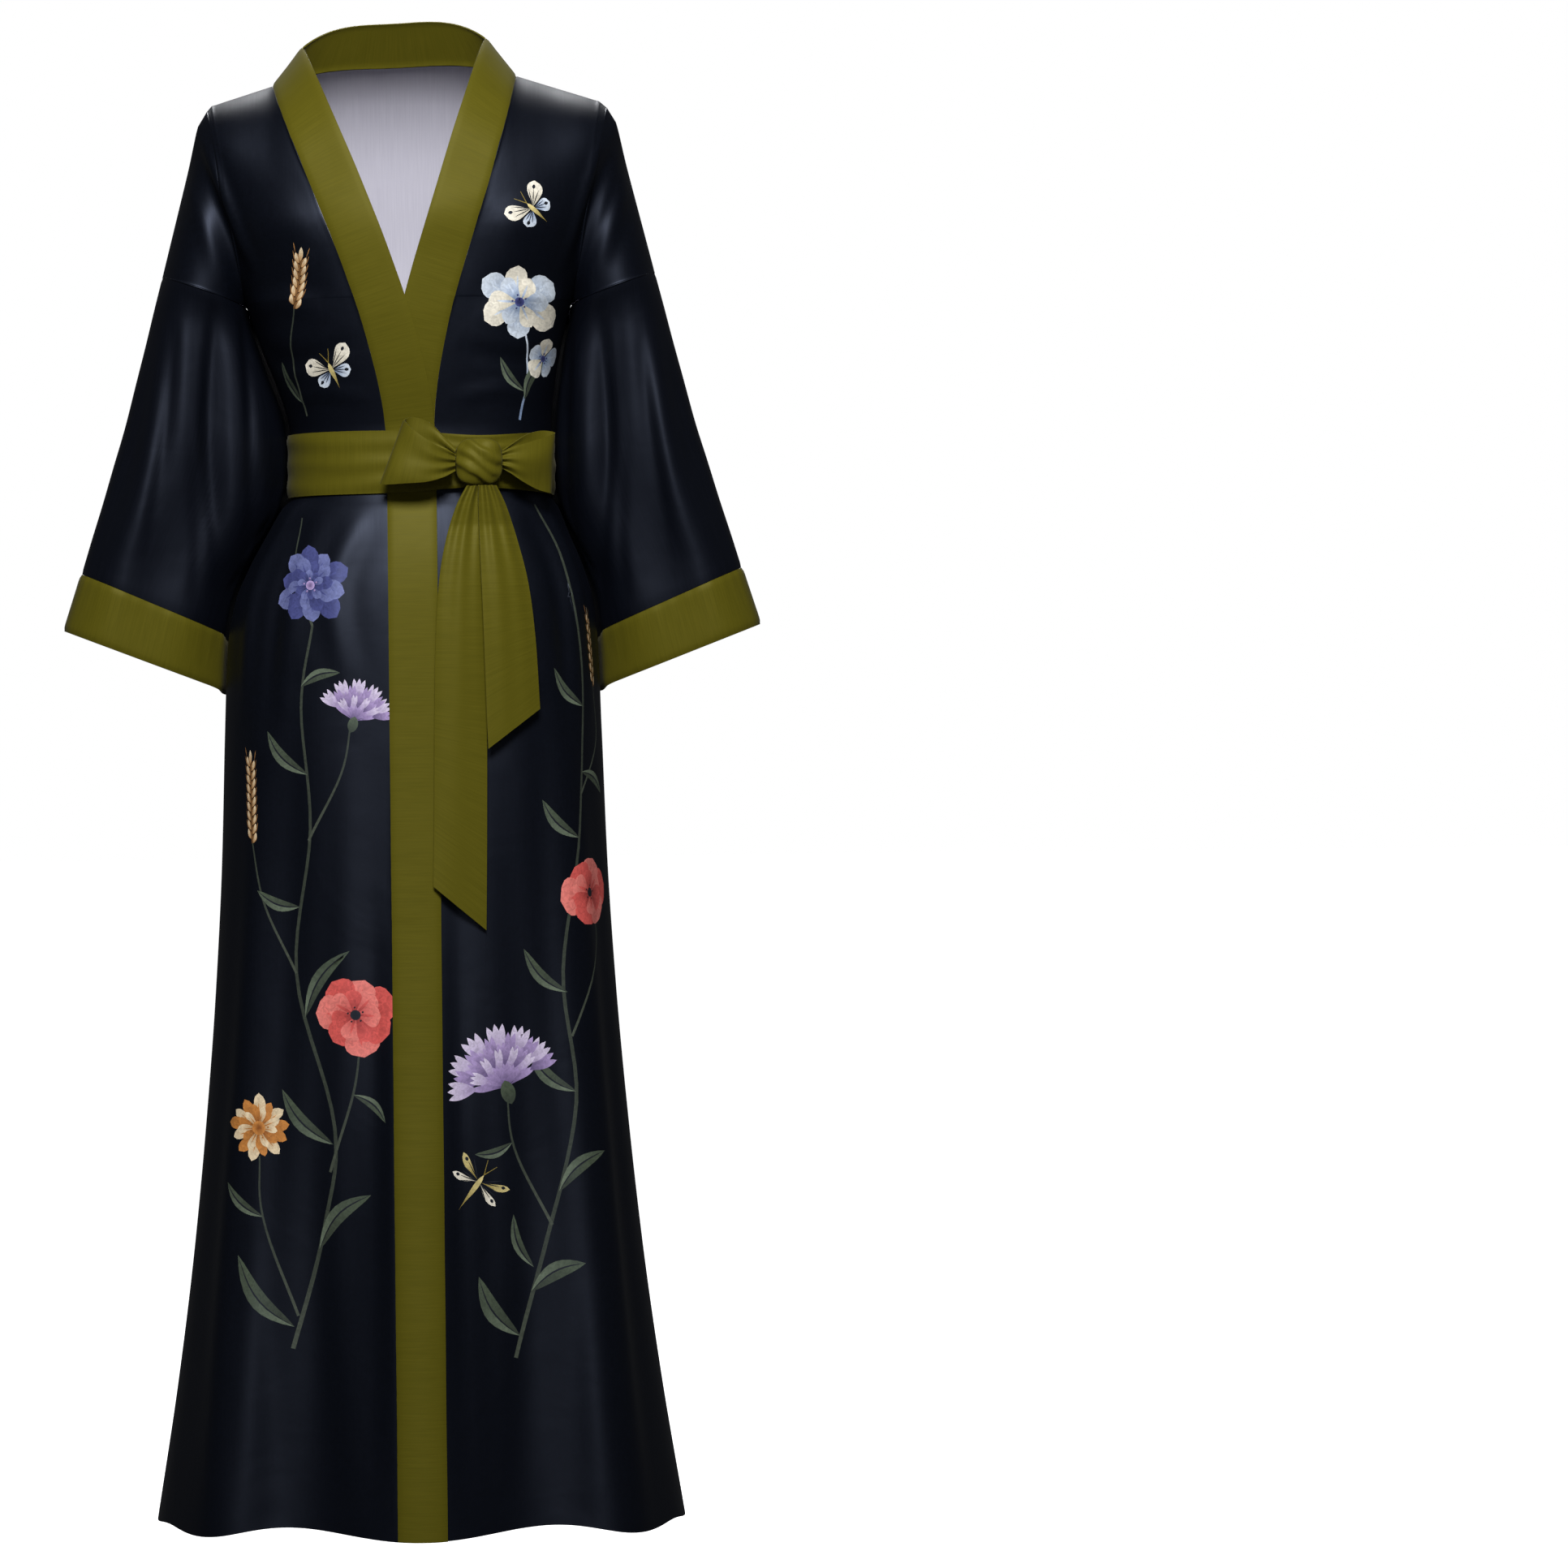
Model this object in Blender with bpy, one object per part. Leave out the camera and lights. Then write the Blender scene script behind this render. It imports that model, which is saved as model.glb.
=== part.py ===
"""A long satin kimono robe, filled out as if worn, with its sash tied in a bow at the waist.

Metres, +Z up. The front faces -Y and the wearer's left is +X. The origin is on the wearer's shoulders:
the middle of the neck, at the height where the shoulder seams meet the neckband.
Run it with: blender --background --python part.py
"""

import math

import bmesh
import bpy
import numpy as np
from mathutils import Vector

# Cloth
CLOTH_WALL = 0.0015
BAND_WALL = 0.0018
SASH_WALL = 0.0018
SEAM_GAP = 0.0003
LAYER_STEP = 0.0040  # how far the wrapped-under layer lies behind the top layer

# The cut
BAND_WIDTH = 0.045
BAND_CUT_SQUARE_BELOW = -0.020
BAND_LIES_BELOW = -0.110  # the band lies on the body below this and stands up above it
UNDERARM_Z = -0.208
HEM_Z = -1.3245
SIDE_ROUNDNESS = 2.35  # exponent of the body's oval sections

# Shoulder line from the neck to the shoulder tip, and the outer arm line from there to the sleeve seam
NECK_SIDE_X = 0.1237
NECK_SIDE_Z = -0.004
SHOULDER_DROP = 0.316
TIP_X = 0.1880
TIP_Z = -0.0245
TIP_CHAMFER = 0.007
ARM_COLUMN_BOW = 0.012
ARM_X = 0.2276
ARM_Z = -0.180
ARM_ROUND = 0.0388
ARM_DEPTH = 0.058
UNDERARM_X = 0.150
SHOULDER_ROUND_NECK = 0.100
SHOULDER_ROUND_ARM = 0.050
UNDERARM_EASE = 0.0022  # keeps the front and back walls apart where they meet at the underarm
UNDERARM_EASE_REACH = 0.012

# Oval body sections. shift is how far the section's middle is to the wearer's left.
BODY_COLUMNS = ("z", "half_width", "front", "back", "shift")
BODY = (
    (0.060, 0.230, 0.094, 0.092, 0.000),
    (0.000, 0.218, 0.101, 0.095, 0.000),
    (-0.080, 0.196, 0.113, 0.103, 0.000),
    (-0.150, 0.170, 0.123, 0.108, 0.000),
    (-0.208, 0.150, 0.119, 0.103, 0.000),
    (-0.248, 0.138, 0.113, 0.097, 0.002),
    (-0.285, 0.1275, 0.105, 0.091, 0.006),
    (-0.312, 0.1218, 0.098, 0.087, 0.0088),
    (-0.3275, 0.1203, 0.0945, 0.0855, 0.010),
    (-0.356, 0.1198, 0.0940, 0.0850, 0.010),
    (-0.385, 0.1203, 0.0945, 0.0860, 0.0095),
    (-0.394, 0.1270, 0.0985, 0.0920, 0.0085),
    (-0.420, 0.1400, 0.106, 0.102, 0.0060),
    (-0.450, 0.1545, 0.112, 0.114, 0.0040),
    (-0.480, 0.1650, 0.116, 0.122, 0.0020),
    (-0.520, 0.1708, 0.119, 0.128, 0.0005),
    (-0.600, 0.1740, 0.122, 0.131, 0.000),
    (-0.720, 0.1780, 0.126, 0.133, 0.000),
    (-0.840, 0.1850, 0.131, 0.136, 0.000),
    (-0.960, 0.1950, 0.138, 0.141, 0.000),
    (-1.080, 0.2075, 0.146, 0.148, 0.000),
    (-1.200, 0.2235, 0.156, 0.157, 0.000),
    (-1.3245, 0.2435, 0.168, 0.168, 0.000),
)

# Where the neckband is sewn to each front, as distances from the straight centre line
SEAM_COLUMNS = ("z", "right", "left")
FRONT_SEAM = (
    (0.004, -0.1260, 0.1020),
    (-0.015, -0.1212, 0.0975),
    (-0.045, -0.1115, 0.0905),
    (-0.075, -0.1005, 0.0822),
    (-0.105, -0.0885, 0.0735),
    (-0.135, -0.0768, 0.0642),
    (-0.165, -0.0652, 0.0547),
    (-0.195, -0.0546, 0.0456),
    (-0.225, -0.0447, 0.0374),
    (-0.255, -0.0362, 0.0307),
    (-0.285, -0.0289, 0.0254),
    (-0.315, -0.0238, 0.0224),
    (-0.345, -0.0216, 0.0215),
    (-1.3245, -0.0215, 0.0215),
)

# The back of the neckline
BACK_NECK_DEPTH = 0.044
NAPE_TOP = 0.0270
BACK_SHOULDER_COLUMNS = 4  # columns of the back that start on each shoulder seam, the rest on the neck

# Hem flutes: soft lobes that grow from the hip to the hem
FLUTE_TURN = 6.8  # lobes in a full turn
FLUTE_TOP_Z = -0.50
FLUTE_DEPTH = 0.022
HEM_WAVE = 0.0045

# Sleeve sections. outer is where the fold at the outer arm lies, inner is the underarm fold.
# tuck is how far the inner fold goes behind the side of the body.
SLEEVE_COLUMNS = ("outer_x", "outer_z", "inner_x", "inner_z", "tuck", "depth", "fold")
SLEEVE = (
    (0.2276, -0.180, 0.1500, -0.208, 0.000, 0.0580, 0.0000),
    (0.2352, -0.209, 0.1340, -0.239, 0.034, 0.0575, 0.0012),
    (0.2435, -0.242, 0.1180, -0.274, 0.045, 0.0570, 0.0026),
    (0.2530, -0.278, 0.1050, -0.313, 0.050, 0.0565, 0.0038),
    (0.2635, -0.318, 0.1020, -0.356, 0.050, 0.0560, 0.0046),
    (0.2745, -0.354, 0.1080, -0.397, 0.053, 0.0550, 0.0050),
    (0.2850, -0.389, 0.1280, -0.438, 0.053, 0.0540, 0.0050),
    (0.2955, -0.422, 0.1480, -0.478, 0.050, 0.0525, 0.0044),
    (0.3048, -0.4525, 0.1580, -0.5155, 0.046, 0.0515, 0.0032),
    (0.3075, -0.4610, 0.1600, -0.5245, 0.045, 0.0512, 0.0028),
    (0.3218, -0.5050, 0.1650, -0.5650, 0.042, 0.0510, 0.0012),
)
CUFF_FROM = 9  # the SLEEVE row where the sleeve cloth ends and the cuff begins
SLEEVE_EASE_TOP = 0.0022  # how far the sleeve stays from the side of the body, at the underarm and below
SLEEVE_EASE = 0.0062
SLEEVE_FOLDS = 6  # soft folds round the sleeve
SLEEVE_SHAPE = 2.1

# Sash
SASH_TOP_Z = -0.3275
SASH_BOTTOM_Z = -0.3850
SASH_EASE = 0.0012
SASH_TURNS = 56
SASH_PULL = 0.0050  # how much the sash narrows on each edge where it runs into the knot
SASH_PULL_REACH = 0.050

# Bow
KNOT_X = 0.0620
KNOT_Z = -0.3575
KNOT_HALF = (0.0215, 0.0125, 0.0215)
KNOT_OFF_BODY = 0.0171
LOOP_COLUMNS = ("across", "out", "up", "half_width", "edge_tilt")
RIGHT_LOOP = (
    (-0.0212, 0.0122, 0.0050, 0.0070, 0.000),
    (-0.0320, 0.0095, 0.0100, 0.0140, 0.000),
    (-0.0460, 0.0060, 0.0150, 0.0210, 0.002),
    (-0.0640, 0.0058, 0.0150, 0.0262, 0.006),
    (-0.0750, 0.0095, 0.0120, 0.0280, 0.009),
    (-0.0790, 0.0160, 0.0095, 0.0285, 0.011),
    (-0.0750, 0.0225, 0.0070, 0.0275, 0.010),
    (-0.0630, 0.0272, 0.0035, 0.0235, 0.006),
    (-0.0460, 0.0275, -0.0005, 0.0182, 0.002),
    (-0.0320, 0.0235, -0.0015, 0.0128, 0.000),
    (-0.0214, 0.0180, -0.0010, 0.0075, 0.000),
)
LEFT_LOOP = (
    (0.0212, 0.0122, 0.0040, 0.0070, 0.000),
    (0.0310, 0.0090, 0.0050, 0.0130, 0.000),
    (0.0430, 0.0062, 0.0060, 0.0200, 0.001),
    (0.0560, 0.0062, 0.0045, 0.0250, 0.001),
    (0.0650, 0.0100, 0.0020, 0.0268, 0.002),
    (0.0685, 0.0155, 0.0000, 0.0272, 0.002),
    (0.0650, 0.0215, -0.0015, 0.0262, 0.001),
    (0.0540, 0.0252, -0.0020, 0.0228, 0.001),
    (0.0400, 0.0255, -0.0010, 0.0170, 0.000),
    (0.0290, 0.0225, 0.0010, 0.0115, 0.000),
    (0.0212, 0.0180, 0.0015, 0.0075, 0.000),
)
LOOP_TURN_X = 0.088  # past this the loops run straight on where the waist curves away
LOOP_TURN_SLOPE = 0.60
TAIL_COLUMNS = ("drop", "middle", "half_width", "off_body")
LONG_TAIL = (
    (0.0218, -0.0030, 0.0085, 0.0062),
    (0.0400, -0.0080, 0.0130, 0.0066),
    (0.0700, -0.0130, 0.0175, 0.0060),
    (0.1100, -0.0165, 0.0210, 0.0050),
    (0.1700, -0.0180, 0.0232, 0.0045),
    (0.2400, -0.0190, 0.0238, 0.0042),
    (0.3100, -0.0200, 0.0238, 0.0042),
    (0.3850, -0.0215, 0.0238, 0.0042),
)
LONG_TAIL_CUT = 0.0400
SHORT_TAIL = (
    (0.0215, 0.0080, 0.0080, 0.0112),
    (0.0400, 0.0120, 0.0125, 0.0120),
    (0.0700, 0.0170, 0.0170, 0.0120),
    (0.1100, 0.0225, 0.0212, 0.0115),
    (0.1600, 0.0265, 0.0232, 0.0105),
    (0.2250, 0.0295, 0.0238, 0.0100),
)
SHORT_TAIL_CUT = -0.0360
TAIL_ROLL = 0.0030  # the tails bow outwards along their middle

# How finely the cloth is divided
YOKE_ROWS = 10
TORSO_COLUMNS = 13
ARM_COLUMNS = 6
BODY_ROWS = (
    (-0.208, -0.232, -0.258, -0.285, -0.308, -0.3275, -0.342, -0.356, -0.3705, -0.385, -0.394, -0.407, -0.424)
    + (-0.446, -0.475, -0.515, -0.575, -0.650, -0.740, -0.840, -0.940, -1.040, -1.130, -1.210, -1.275, -1.3245)
)
SLEEVE_RING = 32
BAND_COLUMNS = 3

NAVY = (0.012, 0.014, 0.028, 1.0)
OLIVE = (0.105, 0.090, 0.014, 1.0)


def column_reader(names, rows):
    """Returns a function that gives one named column of a table as an array."""
    table = np.array(rows, float)
    return lambda name: table[:, names.index(name)]


def smooth_curve(known, values):
    """A smooth curve through (known, values), known rising, with no overshoot between rows."""
    known = np.asarray(known, float)
    values = np.asarray(values, float)
    gaps = np.diff(known)
    slopes = np.diff(values) / gaps
    ends = np.concatenate([[slopes[0]], np.zeros(len(known) - 2), [slopes[-1]]])
    for i in range(1, len(known) - 1):
        if slopes[i - 1] * slopes[i] > 0:
            before = 2 * gaps[i] + gaps[i - 1]
            after = gaps[i] + 2 * gaps[i - 1]
            ends[i] = (before + after) / (before / slopes[i - 1] + after / slopes[i])

    def read(at):
        at = np.clip(np.asarray(at, float), known[0], known[-1])
        i = np.clip(np.searchsorted(known, at, side="right") - 1, 0, len(gaps) - 1)
        t = (at - known[i]) / gaps[i]
        return (
            (1 + 2 * t) * (1 - t) ** 2 * values[i]
            + t * (1 - t) ** 2 * gaps[i] * ends[i]
            + t * t * (3 - 2 * t) * values[i + 1]
            + t * t * (t - 1) * gaps[i] * ends[i + 1]
        )

    return read


def smooth_step(value, start, end):
    """0 before start, 1 after end, and an even ease between."""
    t = np.clip((np.asarray(value, float) - start) / (end - start), 0.0, 1.0)
    return t * t * (3 - 2 * t)


body_column = column_reader(BODY_COLUMNS, BODY)
half_width_at = smooth_curve(body_column("z")[::-1], body_column("half_width")[::-1])
front_at = smooth_curve(body_column("z")[::-1], body_column("front")[::-1])
back_at = smooth_curve(body_column("z")[::-1], body_column("back")[::-1])
shift_at = smooth_curve(body_column("z")[::-1], body_column("shift")[::-1])
seam_column = column_reader(SEAM_COLUMNS, FRONT_SEAM)
SEAM_X = {
    -1: smooth_curve(seam_column("z")[::-1], seam_column("right")[::-1]),
    1: smooth_curve(seam_column("z")[::-1], seam_column("left")[::-1]),
}


def quarter_round(share):
    """Rises from 0 to 1 as a quarter circle while share goes from 0 to 1."""
    return np.sqrt(np.clip(1 - (1 - np.clip(share, 0, 1)) ** 2, 0, 1))


def shoulder_line(x):
    """Height of the shoulder seam over a point that far from the middle."""
    return NECK_SIDE_Z - SHOULDER_DROP * (np.abs(x) - NECK_SIDE_X)


def neck_side(side):
    """x where the band's seam meets the shoulder seam."""
    x = float(SEAM_X[side](0.0))
    for _ in range(10):
        x = float(SEAM_X[side](shoulder_line(x)))
    return x


def shoulder_top(x):
    """Height of the top of the robe: the shoulder seams, and between them the rise to the nape."""
    across = np.clip((x - NECK_MIDDLE) / NECK_HALF, -1, 1)
    left, right = shoulder_line(NECK_MIDDLE + NECK_HALF), shoulder_line(NECK_MIDDLE - NECK_HALF)
    level = (left + right) / 2 + (left - right) / 2 * across
    arch = level + (NAPE_TOP - (left + right) / 2) * (1 - np.abs(across) ** 3.2)
    return np.where(np.abs(across) < 1, arch, shoulder_line(x))


NECK_HALF = (neck_side(1) - neck_side(-1)) / 2
NECK_MIDDLE = (neck_side(1) + neck_side(-1)) / 2


def arm_edge(z):
    """Distance from the middle to the outer arm line at that height."""
    return TIP_X + (ARM_X - TIP_X) * (TIP_Z - z) / (TIP_Z - ARM_Z)


def flute(angle, z):
    """How far the skirt's lobes push the cloth out, at that angle round the body."""
    growth = smooth_step(-z, -FLUTE_TOP_Z, -HEM_Z) ** 1.3
    fade = smooth_step(np.abs(np.sin(angle)), 0.12, 0.5)
    return FLUTE_DEPTH * growth * fade * np.cos(FLUTE_TURN * (np.abs(angle) - math.pi / 2))


def body_depth(x, z, face):
    """How far the cloth lies from the middle plane. face is -1 for the front and 1 for the back."""
    x = np.asarray(x, float)
    z = np.asarray(z, float)
    deep = front_at(z) if face < 0 else back_at(z)
    across = (x - shift_at(z)) / half_width_at(z)
    torso = deep * np.clip(1 - np.abs(across) ** SIDE_ROUNDNESS, 0, 1) ** (1 / SIDE_ROUNDNESS)
    angle = np.arctan2(np.sqrt(np.clip(1 - across**2, 0, 1)), across)
    torso = torso + flute(angle, z) * np.sqrt(np.clip(1 - across**2, 0, 1))
    above = z > UNDERARM_Z - 0.001
    inner = UNDERARM_X - 0.25 * (z - UNDERARM_Z)
    middle = arm_edge(z) - ARM_ROUND
    reach = np.clip((middle - np.abs(x)) / np.maximum(middle - inner, 1e-4), 0, 1)
    arm = ARM_DEPTH * np.sqrt(1 - reach**2) * quarter_round((arm_edge(z) - np.abs(x)) / ARM_ROUND)
    joined = (torso**5 + arm**5) ** 0.2
    ease = smooth_step(np.abs(x), 0.12, 0.20)
    roundness = SHOULDER_ROUND_NECK * (1 - ease) + SHOULDER_ROUND_ARM * ease
    joined = joined * quarter_round((shoulder_top(x) - z) / roundness)
    near = (np.abs(x) - UNDERARM_X) ** 2 + (z - UNDERARM_Z) ** 2
    joined = joined + UNDERARM_EASE * np.exp(-near / UNDERARM_EASE_REACH**2)
    return np.where(above, joined, torso)


def under_layer(x, z, side):
    """How far the left front is pushed in, where the right front wraps over it."""
    if side < 0:
        return np.zeros_like(np.asarray(x, float))
    across = 1 - smooth_step(x, 0.045, 0.110)
    return LAYER_STEP * across * smooth_step(-np.asarray(z, float), 0.120, 0.175)


def front_point(x, z, side):
    """A point on the outside of a front at x and z. side is 1 for the wearer's left."""
    y = -body_depth(x, z, -1) + under_layer(x, z, side)
    return np.stack(np.broadcast_arrays(x, y, z), axis=-1)


def ring_x(angle, z):
    """x of the body's oval section at an angle from the wearer's left side, 0, to the right side, pi."""
    across = np.cos(angle)
    return shift_at(z) + half_width_at(z) * np.sign(across) * np.abs(across) ** (2 / SIDE_ROUNDNESS)


def ring_angle(x, z):
    """The angle at which the oval section has that x."""
    across = np.clip((x - shift_at(z)) / half_width_at(z), -1, 1)
    return np.arccos(np.sign(across) * np.abs(across) ** (SIDE_ROUNDNESS / 2))


def armhole_xz(turn):
    """x and z on the armhole seam, from the outer arm at turn 0 to the underarm at turn 1."""
    x = UNDERARM_X + (ARM_X - UNDERARM_X) * 0.5 * (1 + math.cos(math.pi * turn))
    return np.array([x, UNDERARM_Z + (ARM_Z - UNDERARM_Z) * (x - UNDERARM_X) / (ARM_X - UNDERARM_X)])


def yoke_shares():
    """How far down its column each row of the yoke is, with rows closest at the ridge and the underarm."""
    return (1 - np.cos(math.pi * np.linspace(0, 1, YOKE_ROWS + 1) ** 1.2)) / 2


def blunted(x, z, place):
    """The ridge point softened at the shoulder tip, where the shoulder and arm lines meet."""
    blunt = TIP_CHAMFER * max(0.0, 1 - abs(place) / 0.12)
    return np.array([x - 0.55 * blunt, z - 0.60 * blunt])


def yoke_column(place, bottom_x, neck_x, side):
    """x and z down one column of the yoke, from the ridge to the underarm level or the armhole.

    place runs from -1 at the sleeve seam over 0 at the shoulder tip to 1 at the neckline.
    neck_x is the neckline's curve, or None on the back.
    """
    t = yoke_shares()
    if place < 0:
        top = blunted(TIP_X + (ARM_X - TIP_X) * -place, TIP_Z + (ARM_Z - TIP_Z) * -place, place)
        path = top + np.outer(t, armhole_xz(1 + place) - top)
        path[:, 0] -= ARM_COLUMN_BOW * math.sin(math.pi * place) ** 2 * 4 * t * (1 - t)
        return np.stack([side * path[:, 0], path[:, 1]], axis=1)
    neck_top = abs(NECK_MIDDLE + side * NECK_HALF)
    top_x = TIP_X + (neck_top - TIP_X) * place
    top = blunted(top_x, float(shoulder_line(top_x)), place)
    z = top[1] + (UNDERARM_Z - top[1]) * t
    gone = t
    if neck_x is not None:
        neck_gone = (np.abs(neck_x(z)) - neck_top) / (abs(float(neck_x(UNDERARM_Z))) - neck_top)
        gone = (1 - place) * t + place * neck_gone
    return np.stack([side * (top[0] + (bottom_x - top[0]) * gone), z], axis=1)


def hem_height(x, z, angle):
    """z with the hem's gentle wave added, strongest at the hem itself."""
    near = smooth_step(-z, 1.10, -HEM_Z)
    wave = np.cos(FLUTE_TURN * (np.abs(angle) - math.pi / 2)) * smooth_step(np.abs(np.sin(angle)), 0.1, 0.5)
    return z - HEM_WAVE * near * wave


def shell_object(name, points, faces, wall, outwards, colour, cut=None):
    """A closed wall of cloth whose outer face is the given quads.

    outwards gives, for a point, the direction that is outside there. cut, if given, takes the outer
    points, the inner points and the outer normals, and returns the inner points cut square at the seams.
    """
    work = bmesh.new()
    made = [work.verts.new(tuple(map(float, p))) for p in points]
    for face in faces:
        work.faces.new([made[i] for i in face])
    bmesh.ops.remove_doubles(work, verts=work.verts, dist=0.00002)
    bmesh.ops.recalc_face_normals(work, faces=work.faces)
    sample = max(work.faces, key=lambda face: face.calc_area())
    if sample.normal.dot(outwards(sample.calc_center_median())) < 0:
        bmesh.ops.reverse_faces(work, faces=work.faces)
    work.normal_update()
    work.verts.index_update()
    outer = np.array([vertex.co for vertex in work.verts])
    normals = np.array([vertex.normal for vertex in work.verts])
    factors = np.array([min(vertex.calc_shell_factor(), 1.5) for vertex in work.verts])
    inner = outer - normals * (wall * factors)[:, None]
    if cut is not None:
        inner = cut(outer, inner, normals)
    count = len(outer)
    quads = [tuple(vertex.index for vertex in face.verts) for face in work.faces]
    quads += [tuple(i + count for i in reversed(face)) for face in quads]
    for edge in work.edges:
        if edge.is_boundary:
            loop = edge.link_loops[0]
            a, b = loop.vert.index, loop.link_loop_next.vert.index
            quads.append((b, a, a + count, b + count))
    work.free()
    mesh = bpy.data.meshes.new(name)
    mesh.from_pydata([tuple(p) for p in np.concatenate([outer, inner])], [], quads)
    mesh.update()
    mesh.shade_smooth()
    mesh.materials.append(colour)
    made_object = bpy.data.objects.new(name, mesh)
    garment.objects.link(made_object)
    return made_object


def to_the_back(outer, normals, wall):
    """The outer points moved straight back or forward through the wall, for seams cut front to back."""
    through = wall / np.maximum(np.abs(normals[:, 1]), 0.5)
    moved = outer.copy()
    moved[:, 1] -= np.sign(outer[:, 1]) * through
    return moved


def armhole_height(points):
    """How far points lie above the plane of the nearer armhole seam, and that plane's upward normal."""
    run = np.array([ARM_X - UNDERARM_X, ARM_Z - UNDERARM_Z])
    run = run / np.linalg.norm(run)
    side = np.sign(points[:, 0])
    up = np.stack([-run[1] * side, np.zeros(len(points)), np.full(len(points), run[0])], axis=1)
    start = np.stack([UNDERARM_X * side, np.zeros(len(points)), np.full(len(points), UNDERARM_Z)], axis=1)
    return np.sum((points - start) * up, axis=1), up


def cut_at_armhole(outer, inner):
    """Cuts the wall square to the armhole seam, where the outer points lie on it."""
    height, up = armhole_height(outer)
    on_seam = (np.abs(height) < 0.0005) & (np.abs(outer[:, 0]) > UNDERARM_X - 0.0002)
    inner_height, _ = armhole_height(inner)
    cut = inner + up * (height - inner_height)[:, None]
    return np.where(on_seam[:, None], cut, inner)


def panel_cut(face, side=0):
    """How a panel's wall is cut at its side, shoulder, armhole and band seams."""

    def cut(outer, inner, normals):
        inner = cut_at_armhole(outer, inner)
        inner[:, 1] = face * np.maximum(face * inner[:, 1], SEAM_GAP / 2)
        away = np.hypot(np.abs(outer[:, 0]) - UNDERARM_X, outer[:, 2] - UNDERARM_Z)
        underarm = (away < 0.003) & (np.abs(outer[:, 1]) < 0.006)
        straight = outer[:, 1] - face * np.minimum(CLOTH_WALL, np.abs(outer[:, 1]) - SEAM_GAP / 2)
        moved = np.stack([outer[:, 0], straight, outer[:, 2]], axis=1)
        inner = np.where(underarm[:, None], moved, inner)
        on_plane = np.abs(outer[:, 1]) < 0.0004
        inner[:, 1] = np.where(on_plane, outer[:, 1], inner[:, 1])
        if side:
            seam = np.abs(outer[:, 0] - side * SEAM_GAP - SEAM_X[side](outer[:, 2])) < 0.0001
            seam &= outer[:, 2] < BAND_CUT_SQUARE_BELOW
            inner = np.where(seam[:, None], to_the_back(outer, normals, CLOTH_WALL), inner)
        return inner

    return cut


def grid_faces(rows, columns, first=0, closed=False):
    """Quads of a grid of rows by columns points, the last column joined to the first if closed."""
    faces = []
    for r in range(rows - 1):
        for c in range(columns if closed else columns - 1):
            after = (c + 1) % columns
            faces.append(
                (
                    first + r * columns + c,
                    first + r * columns + after,
                    first + (r + 1) * columns + after,
                    first + (r + 1) * columns + c,
                )
            )
    return faces


def satin(name, colour, roughness):
    """A plain satin material."""
    made = bpy.data.materials.new(name)
    made.use_nodes = True
    shader = made.node_tree.nodes["Principled BSDF"]
    shader.inputs["Base Color"].default_value = colour
    shader.inputs["Roughness"].default_value = roughness
    shader.inputs["Metallic"].default_value = 0.0
    made.diffuse_color = colour
    return made


def from_the_middle(centre):
    """Outwards for the body: away from the vertical through the middle."""
    return Vector((centre.x, centre.y, 0.0))


def panel_grid(side, face, neck_x):
    """One half of the yoke and the body below it, as columns of points from the sleeve seam inwards.

    Returns (yoke, lower): yoke[column][row] with the arm's columns first, and lower[column][row].
    """
    arm = np.linspace(-1, 0, ARM_COLUMNS + 1)[:-1]
    places = np.concatenate([arm, np.linspace(0, 1, TORSO_COLUMNS + 1)])
    z_low = np.array(BODY_ROWS)
    yoke, lower = [], []
    for place in places:
        share = max(place, 0.0)
        bottom = float(ring_place(side, share, UNDERARM_Z, neck_x))
        xz = yoke_column(place, abs(bottom), neck_x, side)
        depth = body_depth(xz[:, 0], xz[:, 1], face)
        depth[0] = 0.0
        y = face * np.maximum(depth, SEAM_GAP / 2)
        if face < 0:
            y = y + under_layer(xz[:, 0], xz[:, 1], side)
        yoke.append(np.stack([xz[:, 0], y, xz[:, 1]], axis=1))
        if place < 0:
            continue
        x = ring_place(side, share, z_low, neck_x)
        y = face * np.maximum(body_depth(x, z_low, face), SEAM_GAP / 2)
        if share == 0.0:
            near = (z_low - UNDERARM_Z) ** 2 / UNDERARM_EASE_REACH**2
            y = face * np.maximum(UNDERARM_EASE * np.exp(-near), SEAM_GAP / 2)
        if face < 0:
            y = y + under_layer(x, z_low, side)
        z = hem_height(x, z_low, ring_angle(x, z_low))
        lower.append(np.stack([x, y, z], axis=1))
    return yoke, lower


def ring_place(side, share, z, neck_x):
    """x on the body's section, from the side seam at share 0 to the neckline, or the middle, at share 1."""
    side_angle = 0.0 if side > 0 else math.pi
    z = np.asarray(z, float)
    end = shift_at(z) * 0 if neck_x is None else neck_x(z)
    end_angle = ring_angle(end, z)
    return ring_x(side_angle + (end_angle - side_angle) * share, z)


def front_panel(name, side, colour):
    """A front: half a yoke with its piece of sleeve top, and the panel below it down to the hem."""
    neck_x = SEAM_X[side]
    yoke, lower = panel_grid(side, -1, neck_x)
    pull_back_from_band(yoke[ARM_COLUMNS:], side)
    pull_back_from_band(lower, side)
    points, faces = panel_mesh(yoke, lower)
    return shell_object(name, points, faces, CLOTH_WALL, from_the_middle, colour, panel_cut(-1, side))


def pull_back_from_band(columns, side):
    """Leaves the seam's gap between the panel's edge and the band."""
    columns[-1][:, 0] += side * SEAM_GAP


def panel_mesh(yoke, lower):
    """Points and faces of yoke columns, and of lower columns that hang from the yoke's torso columns."""
    rows = len(yoke[0])
    points = [p for column in yoke for p in column]
    faces = grid_faces(len(yoke), rows)
    first = len(points)
    low_rows = len(lower[0])
    points += [p for column in lower for p in column]
    faces += grid_faces(len(lower), low_rows, first)
    return points, faces


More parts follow.
